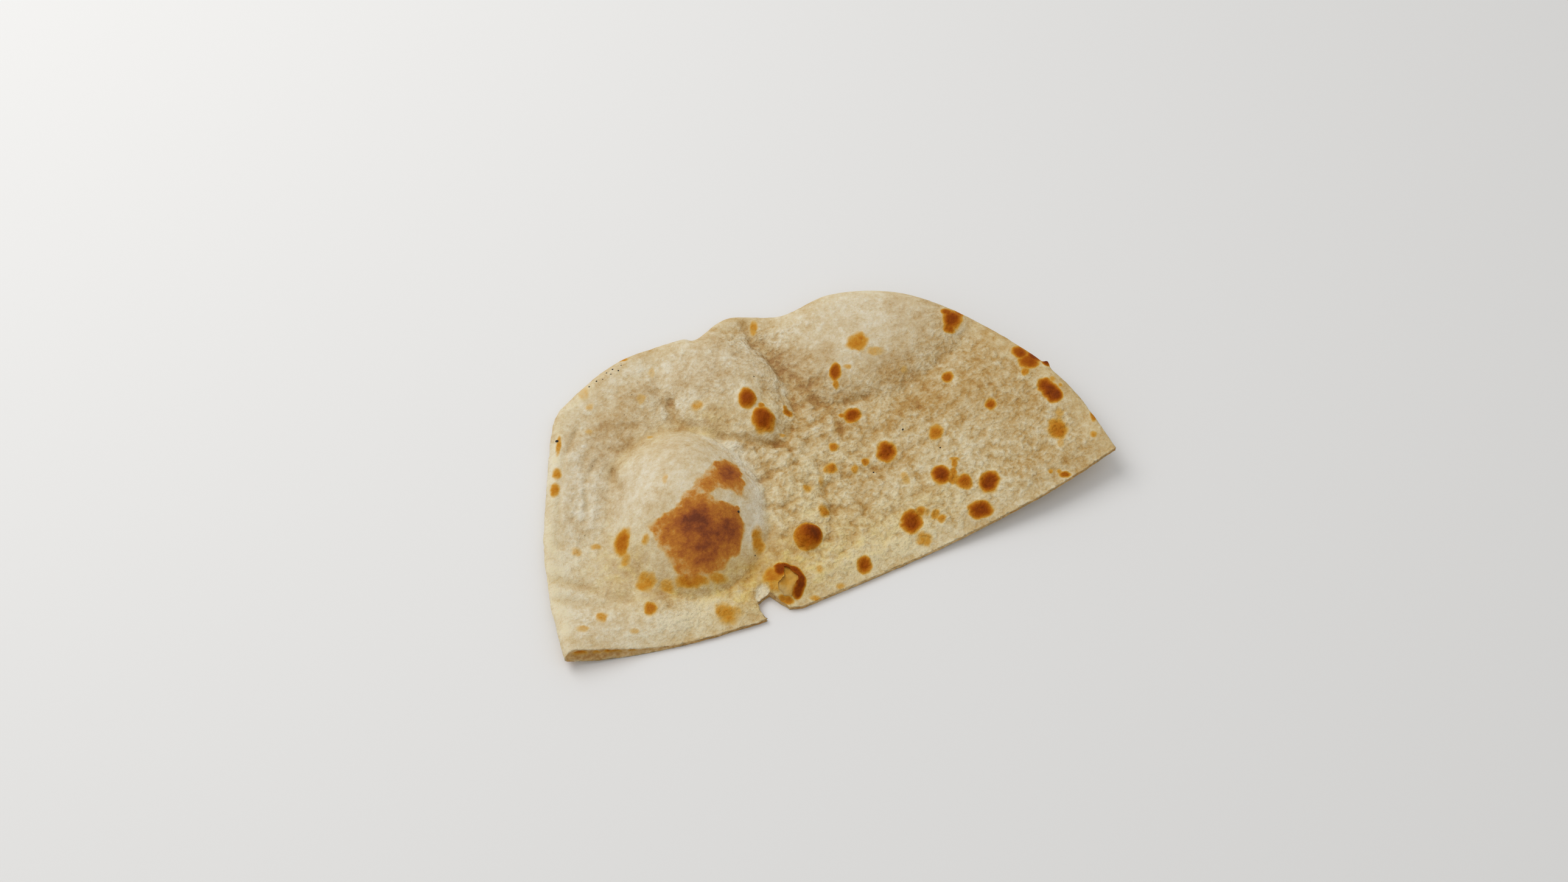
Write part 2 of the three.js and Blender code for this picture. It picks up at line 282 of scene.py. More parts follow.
def inside(x, y, loop):
    """Whether places lie inside a closed loop."""
    odd = np.zeros(x.shape, bool)
    for (ax, ay), (bx, by) in zip(loop, np.roll(loop, -1, 0)):
        crosses = (ay > y) != (by > y)
        odd ^= crosses & (x < (bx - ax) * (y - ay) / (by - ay if by != ay else 1) + ax)
    return odd


def from_line(x, y, line):
    """Distance to the nearest stretch of a line."""
    best = np.full(x.shape, np.inf)
    for (ax, ay), (bx, by) in zip(line, line[1:]):
        t = ((x - ax) * (bx - ax) + (y - ay) * (by - ay)) / ((bx - ax)**2 + (by - ay)**2)
        t = np.clip(t, 0, 1)
        best = np.minimum(best, np.hypot(x - ax - t * (bx - ax), y - ay - t * (by - ay)))
    return best


def depth_inside(x, y, loop):
    """How far places lie inside a closed loop, negative outside it."""
    edge = from_line(x, y, loop + loop[:1])
    return np.where(inside(x, y, np.array(loop)), edge, -edge)


from_rim = nearest(round_edge)
from_cut = nearest(cut_edge)


def lower_skin(x, rim):
    """Height of the underside over the table."""
    right = RIGHT_CURL * ease((x - RIGHT_CURL_FROM) / (CUT_LENGTH - RIGHT_CURL_FROM))
    left = LEFT_CURL * ease(1 - x / LEFT_CURL_REACH)
    return right + left + RIM_CURL * ease(1 - rim / RIM_CURL_BAND)


def dome(r, height):
    """Height of a bubble at a share r of the way from its middle to its foot."""
    return height * (1 - np.minimum(r, 1)**BUBBLE_FULLNESS)**FOOT_SOFTNESS


def turned(x, y, middle, degrees):
    """Places measured from a middle along turned axes."""
    angle = math.radians(degrees)
    dx, dy = x - middle[0], y - middle[1]
    return math.cos(angle) * dx + math.sin(angle) * dy, math.cos(angle) * dy - math.sin(angle) * dx


def bubble_share(x, y, name):
    """How far out a place lies on a bubble: 0 in its middle, 1 at its foot."""
    middle, (left, right, front, back), _, turn = BUBBLES[name]
    u, v = turned(x, y, middle, turn)
    return np.hypot(u / np.where(u < 0, left, right), v / np.where(v < 0, front, back))


def swollen(x, y):
    """How far steam has lifted the upper skin, and how far the folds sink it again."""
    wx, wy = warped(x, y, WARP, 11, 12)
    puff = sum(dome(bubble_share(wx, wy, name), BUBBLES[name][2])**MERGE_POWER for name in BUBBLES)
    folds = [depth * fade(from_line(wx, wy, line), width) for line, width, depth in FOLDS]
    fold = sum(fold**MERGE_POWER for fold in folds)
    return puff**(1 / MERGE_POWER), fold**(1 / MERGE_POWER), bubble_share(wx, wy, "crown")


def hollowness(x, y):
    """How much lower a place lies than the skin round it: above 0 in valleys, below 0 on crests."""
    puff, fold, _ = swollen(x, y)
    around = []
    for step in range(HOLLOW_STEPS):
        angle = 2 * math.pi * step / HOLLOW_STEPS
        aside, ahead = HOLLOW_REACH * math.cos(angle), HOLLOW_REACH * math.sin(angle)
        puff_there, fold_there, _ = swollen(x + aside, y + ahead)
        around.append(puff_there - fold_there)
    return np.mean(around, 0) - puff + fold


def cobbles(x, y, size, seed):
    """Rounded lumps: 1 on top of each, with creases where they meet."""
    i, j = np.floor(x / size), np.floor(y / size)
    closest = np.full(x.shape, np.inf)
    for a in (i - 1, i, i + 1):
        for b in (j - 1, j, j + 1):
            cx, cy = (a + draw(a, b, seed)) * size, (b + draw(a, b, seed + 1)) * size
            closest = np.minimum(closest, np.hypot(x - cx, y - cy))
    return 1 - (closest / size)**2


def quarter_round(t):
    """The rise of a rounded edge."""
    return np.sqrt(1 - (1 - np.clip(t, 0, 1))**2)


def lumpiness(x, y, puff, crown, rim, near_cut):
    """How lumpy the skin is: most on the flat right side, and less on bubbles, at the cut and at the rim."""
    front = soft_step(y, *LUMPY_FRONT_DEEP) * soft_step(x, *LUMPY_FRONT_ALONG)
    lumpy = np.maximum(at_least(LUMPY_LEFT, soft_step(x, *LUMPY_ALONG)), LUMPY_FRONT * front)
    lumpy = lumpy * (1 - BUBBLE_SMOOTHING * ease(puff / PILLOW_HEIGHT)) * (1 - CUT_SMOOTHING * near_cut)
    behind = mound(x, y, LUMPY_BEHIND, *LUMPY_BEHIND_REACH) * soft_step(crown, *LUMPY_BEHIND_CROWN)
    lumpy = lumpy + LUMPY_BEHIND_GAIN * behind
    return lumpy * at_least(LUMPY_RIM, soft_step(rim, SMOOTH_RIM, 2 * SMOOTH_RIM))


def wrinkles(x, y, crown, rim):
    """Fine wrinkles along the left rim, with others that cross them aslant."""
    along = ripple(rim / WRINKLE_STEP, y / WRINKLE_LENGTH, 1, 14)
    across = (rim - WRINKLE_SLANT * y) / WRINKLE_STEP
    aslant = ripple(across, (y + rim) / WRINKLE_LENGTH, SLANTED_SIZE, 19)
    there = soft_step(x, *WRINKLED_ALONG) * soft_step(y, *WRINKLED_DEEP)
    return there * soft_step(crown, *WRINKLED_CROWN) * soft_step(rim, *WRINKLED_RIM) * (along + aslant)


def pleats(x, y, crown):
    """Pleats that run out from the back of the crown's foot."""
    middle = BUBBLES["crown"][0]
    around = np.arctan2(y - middle[1], x - middle[0])
    pleat = ripple(around * PLEATS_ROUND, crown * PLEATS_OUT, 1, 83)
    return pleat * fade(crown - PLEAT_SHARE, PLEAT_WIDTH) * soft_step(y, *PLEATED_DEEP)


def upper_skin(x, y):
    """The upper skin's height, and the forms on it that its colours follow, among them the painted shade of
    its creases.
    """
    rim = from_rim(x, y)
    near_cut = 1 - ease(from_cut(x, y) / CUT_THINNING_REACH)
    corner = np.hypot((x - LEFT_END[0]) / CORNER_REACH[0], (y - LEFT_END[1]) / CORNER_REACH[1])
    thinned = CUT_THINNING * near_cut * (1 - soft_step(corner, *CORNER_SPARED))
    thick = THICKNESS + CORNER_EXTRA * ease(1 - corner) - thinned
    flat = RIM_WALL + (thick - RIM_WALL) * quarter_round(rim / RIM_ROUND)
    puff, fold, crown = swollen(x, y)
    blister = sum(dome(np.hypot(x - cx, y - cy) / radius, height)
                  for (cx, cy), radius, height in BLISTERS.values())
    lumpy = lumpiness(x, y, puff, crown, rim, near_cut)
    lumps = [cobbles(*warped(x, y, COBBLE_WARP, 40 + k, 50 + k), size, 1 + 2 * k)
             for k, size in enumerate(COBBLE_SIZES)]
    coarse = at_least(COARSE_LEAST, mound(x, y, COARSE_MIDDLE, COARSE_REACH, COARSE_REACH))
    strengths = (coarse, coarse, FINE_STRENGTH + ripples(x, y, FINE_SWAY, 16))
    lump_height = lumpy * sum(height * strength * (lump - COBBLE_MEAN)
                              for height, strength, lump in zip(COBBLE_HEIGHTS, strengths, lumps))
    swell = SWELL_HEIGHT * ripples(x, y, SWELLS, 17) * at_least(SWELL_LEAST, lumpy)
    wrinkle, pleat = wrinkles(x, y, crown, rim), pleats(x, y, crown)
    rise = puff + blister + (lump_height + swell) * (1 - CUT_FLATTENING * near_cut)
    rise = rise + WRINKLE_HEIGHT * wrinkle + PLEAT_HEIGHT * pleat - fold
    knob = KNOB_RISE * mound(x, y, KNOB, KNOB_REACH, KNOB_REACH)
    torn = soft_step(depth_inside(x, y, TORN_CRUMB), -TORN_EDGE / 2, TORN_EDGE / 2)
    sunk = torn * (TORN_DEPTH + ripples(x, y, TORN_UNEVEN, 15))
    height = lower_skin(x, rim) + flat + rise * quarter_round(rim / PUFF_BAND) + knob - sunk
    # Painted shade: the colour is darkened in the creases between cobbles, along the folds and in the
    # wrinkles' grooves, and lightened on cobble tops and on wrinkle and pleat ridges.
    crease = lumpy * sum(share * strength * (CREASE_SHADE_LEVEL - lump)
                         for share, strength, lump in zip(CREASE_SHADE_SHARES, strengths, lumps))
    crease = crease + FOLD_SHADE * np.minimum(fold, FOLD_SHADE_MOST)
    crease = crease - WRINKLE_SHADE * wrinkle - PLEAT_SHADE * pleat
    return {"height": height, "rim": rim, "crown": crown, "lumpy": lumpy, "torn": torn, "crease": crease}


# Scorches
# Where the skin stood nearest the fire it toasted: one large burn on the crown, brown spots on the small
# blisters, amber freckles, and faint yellow ones. The large burn has dark hearts and paler places, one of
# them a painted highlight, and the whole blister's right side has painted shade.

CROWN_BURN = [
    (55.6, 41.6), (60.5, 41.2), (68.6, 42.4), (75.4, 46.4), (81.7, 49.8), (88.4, 54), (95.7, 59.8),
    (101.8, 62), (106.2, 59.4), (106.8, 52.5), (103.6, 44), (100, 37.8), (96.5, 40.2), (92.6, 42.6),
    (88.9, 42.8), (86.8, 41.2), (87.3, 38.6), (91, 36.8), (96.3, 35), (96.8, 28.8), (94.3, 21.5),
    (89.4, 15.3), (80.6, 11.2), (72.8, 10.2), (65.4, 11), (60.2, 15), (57.8, 21.8), (56.6, 30.3),
    (55.8, 35.6),
]
# Over which depths inside its outline the burn begins, deepens and takes on its own tones.
BURN_EDGE, BURN_LEVEL = (-1.0, 1.4), 0.36
BURN_INWARD, BURN_DEEPER = (0.0, 9.0), 0.16
BURN_BODY = (-1.0, 2.0)
BURN_RAGGED = [(2.2, 0.4)]
# The dark hearts of the large burn, and two paler places in it, the one between the two largest hearts being
# a
# painted highlight: middle, radius, and how much darker.
BURN_HEARTS_AND_HIGHLIGHT = [
    ((75.2, 32.6), 6.8, 0.46), ((90.2, 25.6), 6.4, 0.32), ((101.2, 51.6), 6.0, 0.4), ((73, 19), 6.5, 0.18),
    ((82, 24), 9.0, 0.16), ((84.8, 30.4), 3.6, -0.14), ((81.6, 43), 5.0, -0.1),
]
SCORCH_TURN = -24.0
# Each scorch: middle, half width and half length on turned axes, and how far it is toasted from 0 to 1.
BROWN_SPOTS = [
    ((124.9, 90.2), 4.7, 6.2, 0.84), ((127.6, 77.5), 5.8, 7.5, 0.84),
    ((129.4, 84.4), 2.0, 2.6, 0.56), ((231.8, 90.5), 5.2, 6.2, 0.86), ((231, 95), 3.2, 2.9, 0.78),
    ((236.6, 93.2), 3.4, 3.2, 0.62), ((228.6, 86.6), 3.6, 3.6, 0.7), ((252.1, 59.7), 4.6, 4.6, 0.76),
    ((257.6, 55.4), 4.4, 4.4, 0.86), ((253.3, 53), 5.4, 5.2, 0.76), ((248.9, 48.4), 2.6, 3.4, 0.5),
    ((261.6, 50.4), 2.7, 3.0, 1.0), ((253.4, 37.4), 4.2, 5.0, 0.84), ((254.2, 34.6), 4.9, 5.4, 0.9),
    ((255, 31.4), 4.2, 5.6, 0.92),
    ((258.5, 39.5), 2.2, 2.6, 0.42), ((260.4, 34.9), 1.4, 1.8, 0.4), ((248.2, 15.1), 5.6, 7.0, 0.55),
    ((252.6, 21.6), 2.6, 3.2, 0.32), ((245.9, 7.8), 2.0, 4.0, 0.3), ((167.8, 65.6), 4.5, 5.1, 0.82),
    ((163.7, 68), 2.2, 2.0, 0.54), ((172.9, 39.7), 5.3, 6.4, 0.82), ((138.6, -9.5), 4.0, 4.7, 0.78),
    ((167, 1.4), 5.7, 6.9, 0.84), ((172.9, 4.4), 2.8, 3.4, 0.54), ((175.3, 2.8), 1.8, 2.6, 0.34),
    ((189.6, 16.6), 4.8, 6.1, 0.86), ((197.6, 9.1), 4.6, 4.9, 0.66), ((193.2, 12.8), 3.8, 3.6, 0.52),
    ((195.2, 15.6), 2.0, 3.8, 0.54), ((197.6, 19.8), 2.0, 3.4, 0.5), ((198.6, 21.6), 3.4, 1.9, 0.42),
    ((207.7, 3.9), 5.2, 6.2, 0.88), ((197.7, -6.4), 6.4, 4.6, 0.86), ((169.3, 88.3), 3.2, 4.6, 0.8),
    ((167.5, 82.9), 2.0, 3.2, 0.46), ((185, 96.9), 6.5, 6.2, 0.5), ((190.4, 89), 5.2, 3.0, 0.3),
]
# Round the burst blister: amber on its left, and a dark crescent from behind it round to its front.
BURST_SPOTS = [
    ((98.6, 0.6), 6.0, 6.4, 0.52), ((102.3, 1.6), 3.2, 4.2, 0.9), ((99.6, -11.4), 4.4, 2.4, 0.56),
    ((107.6, -7.6), 2.6, 3.0, 0.86), ((98, -4.8), 4.6, 5.2, 0.38),
]
BURST_CRESCENT = [
    (102.8, 4), (106, 2.5), (108.5, -0.6), (109.9, -4.6), (108.6, -8), (106.8, -9.6), (105.2, -10.4),
]
CRESCENT_WIDTH, CRESCENT_LEVEL, CRESCENT_RAGGED = 2.5, 0.9, 0.5
AMBER_SPOTS = [
    ((43.8, 42.8), 4.9, 7.2, 0.6), ((42.4, 35.2), 3.2, 3.8, 0.36), ((52.6, 36.5), 2.6, 3.6, 0.36),
    ((46, 21.2), 5.6, 5.4, 0.42), ((54, 15.1), 5.2, 3.6, 0.38), ((64.6, 11.8), 9.0, 3.8, 0.56),
    ((74.6, 9.2), 6.8, 3.4, 0.4), ((43, 7.4), 3.9, 4.6, 0.58), ((72.8, -6.9), 7.2, 6.4, 0.44),
    ((99.5, 19.9), 3.7, 8.2, 0.48), ((141, 79.4), 2.6, 2.8, 0.58), ((140.8, 81.9), 1.6, 2.6, 0.42),
    ((144.2, 42.6), 2.4, 2.6, 0.42), ((131.4, 36.9), 2.9, 3.2, 0.44), ((180.1, -3.1), 2.9, 3.1, 0.46),
    ((254.6, 66), 2.2, 2.6, 0.42), ((146.4, 132.3), 2.5, 5.2, 0.42),
    ((216.2, 63.5), 3.3, 3.8, 0.68), ((226.6, 39.8), 3.1, 4.1, 0.7), ((197.8, 38.6), 4.0, 4.9, 0.54),
    ((162.1, 39.6), 2.4, 3.2, 0.53), ((156.2, 37.9), 2.3, 2.8, 0.44), ((146.6, 42.7), 3.8, 4.0, 0.54),
    ((152.3, 53.1), 2.8, 3.6, 0.54), ((133.4, 23.2), 3.4, 4.6, 0.5), ((178.7, 0.5), 2.7, 3.5, 0.44),
    ((168.8, -8.4), 4.8, 4.4, 0.42), ((235, -3), 1.5, 1.7, 0.46), ((238.4, -4.8), 1.5, 1.7, 0.46),
    ((240.1, -7.3), 3.4, 2.0, 0.64), ((261.1, 4.8), 2.1, 2.2, 0.42), ((266, 13.8), 1.9, 4.1, 0.52),
    ((35.8, 104.3), 1.7, 7.3, 0.42), ((29.8, 89.9), 3.0, 4.5, 0.48), ((26, 81.8), 3.2, 5.0, 0.5),
    ((81, 139.8), 4.2, 2.1, 0.42),
]
FAINT_SPOTS = [
    ((21.8, 11.3), 3.4, 4.3, 0.36), ((12.1, 8.7), 3.8, 2.3, 0.32), ((32.4, -0.1), 3.4, 1.8, 0.3),
    ((23.7, 48.5), 3.3, 3.5, 0.32), ((32.6, 47.6), 3.0, 2.2, 0.38), ((102.6, 97.1), 4.2, 3.6, 0.34),
    ((174.4, 22.9), 3.3, 4.9, 0.32), ((132, 37.3), 4.4, 4.6, 0.2), ((119.2, -4.1), 2.4, 3.0, 0.36),
    ((139.2, 38.6), 2.0, 4.0, 0.3), ((133.6, 69), 3.0, 2.0, 0.32),
    ((124.7, -14.7), 2.7, 2.5, 0.38), ((111.8, -15.7), 3.3, 2.3, 0.38), ((90.7, 125.9), 2.2, 4.9, 0.26),
    ((57.8, 127.5), 3.7, 6.6, 0.26), ((56.4, 118.7), 2.7, 2.7, 0.28), ((80.5, 112.8), 2.8, 4.0, 0.28),
    ((76.4, 92), 2.5, 1.8, 0.34), ((51.9, 107.2), 2.8, 2.3, 0.28), ((175.5, 88.1), 2.7, 1.7, 0.34),
    ((199.8, 76), 2.2, 2.1, 0.3), ((71, 57), 2.1, 3.8, 0.26),
]
SPOTS = BROWN_SPOTS + BURST_SPOTS + AMBER_SPOTS + FAINT_SPOTS
# The whole blister is toasted over its dome and stops at its foot, darkest on its right, where painted shade
# of its shadowed side deepens its brown heart.
DOME_SPOT, DOME_SPOT_LEVEL = ((121, 13.1), 6.6, 7.3), 0.5
DOME_SHADED_HEART, DOME_SHADED_HEART_REACH, DOME_SHADED_HEART_DARKER = (123.8, 13), 5.6, 0.5
DOME_PALING, DOME_PALING_BAND, DOME_END = 0.25, (0.7, 1.0), (0.94, 1.08)
DOME_RAGGED = [(3.0, 0.3)]
SPOT_SWELL = 0.12
SPOT_HEART, SPOT_PALING = 0.3, 0.5
SPOT_EDGE, SPOT_EDGE_GAIN, SPOT_END = 0.48, 0.34, 1.18
# Edges are ragged in layers, and more so on pale scorches.
RAGGED_LAYERS, RAGGED_SIZE, RAGGED_PALE = [(4.2, 0.9), (1.6, 0.5)], 9.0, 1.4
PALE_RING = 1.6


def spot_share(x, y, spot):
    """How far out a place lies on a scorch: 0 in its middle, 1 at its edge."""
    u, v = turned(x, y, spot[0], SCORCH_TURN)
    return np.hypot(u / spot[1], v / spot[2])


def toasting(share, level):
    """How far a scorch is toasted on the way out: dark heart, amber edge, then a fade."""
    paling = 1 - SPOT_PALING * soft_step(share, SPOT_HEART, 1)
    edge = SPOT_EDGE + SPOT_EDGE_GAIN * level
    return level * paling * (1 - soft_step(share, edge, SPOT_END))


def scorch(x, y):
    """How far the skin is toasted, with painted shade on the whole blister's right side and a painted
    highlight in the large burn, how the spots have swollen it, and the paler ring round each.
    """
    ragged_x, ragged_y = ripples(x, y, RAGGED_LAYERS, 21), ripples(x, y, RAGGED_LAYERS, 23)
    toast, swell, ring = np.zeros(x.shape), np.zeros(x.shape), np.zeros(x.shape)
    for spot in SPOTS:
        narrow, level = min(spot[1:3]), spot[3]
        ragged = narrow / RAGGED_SIZE * (1 + RAGGED_PALE * (1 - level))
        share = spot_share(x + ragged * ragged_x, y + ragged * ragged_y, spot)
        toast = np.maximum(toast, toasting(share, level))
        swell = np.maximum(swell, SPOT_SWELL * narrow * level * dome(share / PALE_RING, 1))
        ring = np.maximum(ring, level * (1 - soft_step(share, 1, PALE_RING)))
    dome_share = spot_share(*warped(x, y, DOME_RAGGED, 27, 28), DOME_SPOT)
    # Painted shade on the blister's right side, over its toasted heart.
    shaded_heart = mound(x, y, DOME_SHADED_HEART, DOME_SHADED_HEART_REACH, DOME_SHADED_HEART_REACH)
    dome_toast = DOME_SPOT_LEVEL + DOME_SHADED_HEART_DARKER * shaded_heart
    dome_toast = dome_toast * (1 - DOME_PALING * soft_step(dome_share, *DOME_PALING_BAND))
    toast = np.maximum(toast, dome_toast * (1 - soft_step(dome_share, *DOME_END)))
    arc = from_line(x + CRESCENT_RAGGED * ragged_x, y + CRESCENT_RAGGED * ragged_y, BURST_CRESCENT)
    toast = np.maximum(toast, toasting(arc / CRESCENT_WIDTH, CRESCENT_LEVEL))
    burn_x, burn_y = warped(x, y, BURN_RAGGED, 25, 26)
    depth = depth_inside(burn_x + ragged_x, burn_y + ragged_y, CROWN_BURN)
    body = soft_step(depth, *BURN_BODY)
    burn = BURN_LEVEL * soft_step(depth, *BURN_EDGE) + BURN_DEEPER * soft_step(depth, *BURN_INWARD)
    # Negative amounts lighten the burn; the one at (84.8, 30.4) is a painted highlight.
    for middle, radius, darker in BURN_HEARTS_AND_HIGHLIGHT:
        burn = burn + darker * mound(x, y, middle, radius, radius) * body
    return {"toast": np.maximum(toast, burn), "swell": swell, "ring": ring, "burn": body}


# The bread's mesh
# One closed skin: the upper side with its hole, the pocket under the burst blister, the rounded rim, the
# cut's crumb and the underside. Its points lie closer where scorches need fine edges.

TOP_PITCH = 0.79
MARK_PITCH = 0.53
UNDER_PITCH = 2.4
SCATTER, EDGE_CLEAR, HOLE_CLEAR = 0.2, 0.5, 0.2
MARK_MARGIN, BURN_MARGIN = 1.3, 3.0
INSIDE_ONLY, SAME_PLACE = 1, 1e-7
WALL_ROWS = 9
RIM_BULGE = 0.8
FACE_SLANT, FACE_HOLLOW, FACE_REACH, FACE_START = 2.2, 0.6, 60.0, 5.0
WALL_HOLLOW, WALL_FULLNESS, WALL_LUMPY = 0.15, 0.6, 0.3
CRUMB_ROUGHNESS, CRUMB_GRAIN, CRUMB_LOW, CRUMB_DARKER = 0.5, 1.5, 0.4, 0.15
# Holes of open crumb in the cut: place along it, half width, half height as a share of the face, and depth.
# They are coloured tan by painted shade that deepens with their depth.
CRUMB_POCKETS = [
    (6.5, 4.0, 0.26, 1.4), (13.5, 3.0, 0.2, 1.0), (20, 5.0, 0.24, 1.4), (28.5, 2.6, 0.2, 1.1),
    (34, 3.6, 0.22, 1.2), (42, 2.4, 0.2, 1.0), (48.5, 3.0, 0.24, 1.1), (61, 3.2, 0.3, 1.0),
    (76, 2.2, 0.3, 0.8), (82, 2.8, 0.3, 0.9),
]
CRUMB_POCKET_EDGE, CRUMB_POCKET_SHADE = (1.25, 0.25), 0.42
UNDER_LUMPY, UNDER_TOAST, UNDER_TOAST_SIZE, UNDER_TOAST_BAND = 0.5, 0.5, 13.0, (0.3125, 0.9375)


def scattered(loop, pitch, seed):
    """Places spread evenly inside a loop, a little off a triangular grid, clear of its edge."""
    rng = np.random.default_rng(seed)
    x0, y0 = loop.min(0)
    x1, y1 = loop.max(0)
    rows = np.arange(y0, y1, pitch * math.sqrt(3) / 2)
    x, y = np.meshgrid(np.arange(x0, x1, pitch), rows)
    x = x + np.where(np.arange(len(rows)) % 2, pitch / 2, 0)[:, None]
    x = (x + rng.uniform(-SCATTER, SCATTER, x.shape) * pitch).ravel()
    y = (y + rng.uniform(-SCATTER, SCATTER, y.shape) * pitch).ravel()
    keep = inside(x, y, loop)
    x, y = x[keep], y[keep]
    keep = nearest(loop)(x, y) > EDGE_CLEAR * pitch
    return np.stack([x[keep], y[keep]], 1)


def near_marks(x, y):
    """Where the points lie closer: on scorches and round the burst blister."""
    near = depth_inside(x, y, CROWN_BURN) > -BURN_MARGIN
    near |= from_line(x, y, BURST_CRESCENT) < MARK_MARGIN * CRESCENT_WIDTH
    for spot in [DOME_SPOT] + BROWN_SPOTS + BURST_SPOTS + AMBER_SPOTS:
        near |= spot_share(x, y, spot) < MARK_MARGIN
    return near


def sheet_faces(flat, loops):
    """Triangles over all the places, within the first loop and outside the others."""
    edges, first = [], 0
    for loop in loops:
        edges += [(first + i, first + (i + 1) % len(loop)) for i in range(len(loop))]
        first += len(loop)
    found = delaunay_2d_cdt([Vector(p) for p in flat], edges, [], INSIDE_ONLY, SAME_PLACE)[2]
    found = np.array([list(face) for face in found])
    for loop in loops[1:]:
        found = found[~inside(*flat[found].mean(1).T, loop)]
    return found


def ring_faces(rings):
    """Quads between each ring of points and the next."""
    return [quad for upper, lower in zip(rings, rings[1:])
            for quad in zip(upper, np.roll(upper, -1), np.roll(lower, -1), lower)]


POINT_VALUES = ("toast", "burn", "crumb", "dry", "flour", "damp", "crease", "lumpy")
points = {name: [] for name in ("place", *POINT_VALUES)}
faces = []


def add_points(flat, height, **values):
    """Adds points with the values that their colour follows, and gives their numbers."""
    first = sum(len(part) for part in points["place"])
    points["place"].append(np.column_stack([flat, np.broadcast_to(height, len(flat))]))
    for name in POINT_VALUES:
        points[name].append(np.broadcast_to(values.get(name, 0.0), len(flat)))
    return first + np.arange(len(flat))


open_face = ease(1 - outline[:, 0] / FACE_REACH)
slant = FACE_SLANT * open_face * ease(outline[:, 0] / FACE_START) * ~is_rim
top_loop = outline - outline_out * slant[:, None]
fine, plain = scattered(top_loop, MARK_PITCH, 1), scattered(top_loop, TOP_PITCH, 2)
inner = np.concatenate([fine[near_marks(*fine.T)], plain[~near_marks(*plain.T)]])
inner = inner[~inside(*inner.T, hole) & (nearest(hole)(*inner.T) > HOLE_CLEAR)]
top = np.concatenate([top_loop, hole, inner])
on_edge, on_hole = slice(0, len(outline)), slice(len(outline), len(outline) + len(hole))
skin = upper_skin(*top.T)
marks = scorch(*top.T)
top_height = skin["height"] + marks["swell"]

# Where the skin is paler or duller than the rest: middle, reach along x and y, and how much. Some darker ones
# are painted shade: on the slope at (240, 62), in the hollow left of the shoulder at (80, 116), and in the
# valley between shoulder and pillow and on the pillow's left flank at (157, 86), (152, 106) and (164, 101).
PALE_AND_SHADED_PATCHES = [
    ((78, 55), 36, 38, 0.12), ((118, 116), 24, 22, -0.14), ((166, 62), 14, 9, -0.3),
    ((150, 10), 40, 25, 0.08), ((185, 122), 50, 16, 0.3), ((231, 56), 22, 16, -0.12),
    ((240, 62), 26, 26, -0.15), ((150, -5), 50, 14, 0.2), ((164, 101), 9, 10, -0.28),
    ((18, 30), 26, 30, 0.25), ((62, 102), 14, 8, -0.15), ((106, 8), 12, 10, -0.12),
    ((70, -2), 42, 10, 0.2), ((30, 75), 24, 32, 0.2), ((128, 30), 24, 30, 0.14),
    ((138, -8), 28, 10, 0.28), ((150, 62), 20, 14, -0.05), ((152, 106), 7, 13, -0.45),
    ((143, 90), 6, 6, 0.3), ((184, 66), 9, 5, 0.3), ((188, 57), 20, 9, -0.14),
    ((50, -4), 20, 8, 0.38), ((12, 18), 14, 18, 0.24), ((48, 113), 12, 12, 0.2),
    ((200, 24), 26, 14, 0.06), ((88, 127), 22, 8, 0.3), ((98, 100), 9, 8, 0.3),
    ((80, 116), 10, 7, -0.45), ((64, 106), 9, 5, -0.25), ((38, 30), 14, 14, -0.06),
    ((106, 86), 9, 9, -0.15), ((72, 2), 14, 7, 0.12), ((126, 96), 11, 9, 0.24),
    ((90, -2), 10, 8, -0.16), ((157, 86), 8, 8, -0.2), ((222, 40), 13, 10, -0.1),
    ((214, 17), 10, 8, 0.12), ((208, 80), 14, 10, -0.12),
]
# Where dry flour whitens it.
FLOURY_PATCHES = [
    ((35, 85), 32, 50, 0.9), ((78, 60), 40, 40, 0.6), ((110, 116), 34, 24, 0.8), ((195, 108), 55, 30, 0.9),
    ((24, 14), 34, 26, 0.7), ((70, 128), 34, 14, 0.3),
]
# Where it stayed damp and yellow.
DAMP_PATCHES = [
    ((128, 28), 16, 22, 0.5), ((150, 46), 20, 12, 0.2), ((110, -10), 14, 8, 0.4), ((60, 11), 24, 8, 0.7),
    ((132, 82), 12, 14, 0.4), ((106, 86), 9, 9, 0.5), ((70, -6), 40, 8, 0.25), ((138, -8), 28, 10, 0.4),
    ((82, 8), 12, 6, 0.4), ((106, 6), 24, 14, 1.1), ((160, 4), 36, 13, 0.7), ((38, 32), 18, 18, 0.9),
    ((86, -2), 18, 9, 0.9),
]
# Forms that its colours follow too: streaks on the crown, a band behind it and the skin at its foot, hollows,
# where painted shade darkens and yellows the colour, and the skin along the rim.
STREAK_STEP, STREAK_LENGTH, STREAK_BEND, STREAK_CROWN = 1.6, 26.0, [(9.0, 0.4)], (1.1, 0.85)
BAND_BEHIND_CROWN, BAND_WIDTH = [(56.5, 81.8), (69.4, 87.7), (86.1, 91.8), (99.8, 87.8)], 6.0
CROWN_FOOT_LINE, CROWN_FOOT_WIDTH = [
    (98.1, 88.9), (104.3, 75.6), (110.4, 66.5), (111.4, 51.4), (109.2, 40), (103, 28.3), (97.6, 19.7),
], 3.6
HOLLOW_LIMITS = (-1.5, 2)
RIGHT_RIM_WIDTH, RIGHT_RIM_ALONG = 6.0, (170, 210)
RIM_STRIP, RIM_STRIP_DEEP, RIM_STRIP_ALONG = 3.5, (0, 15), (75, 55)
DRY_MIDDLE, DRY_SWAY = 0.45, [(16.0, 0.1)]
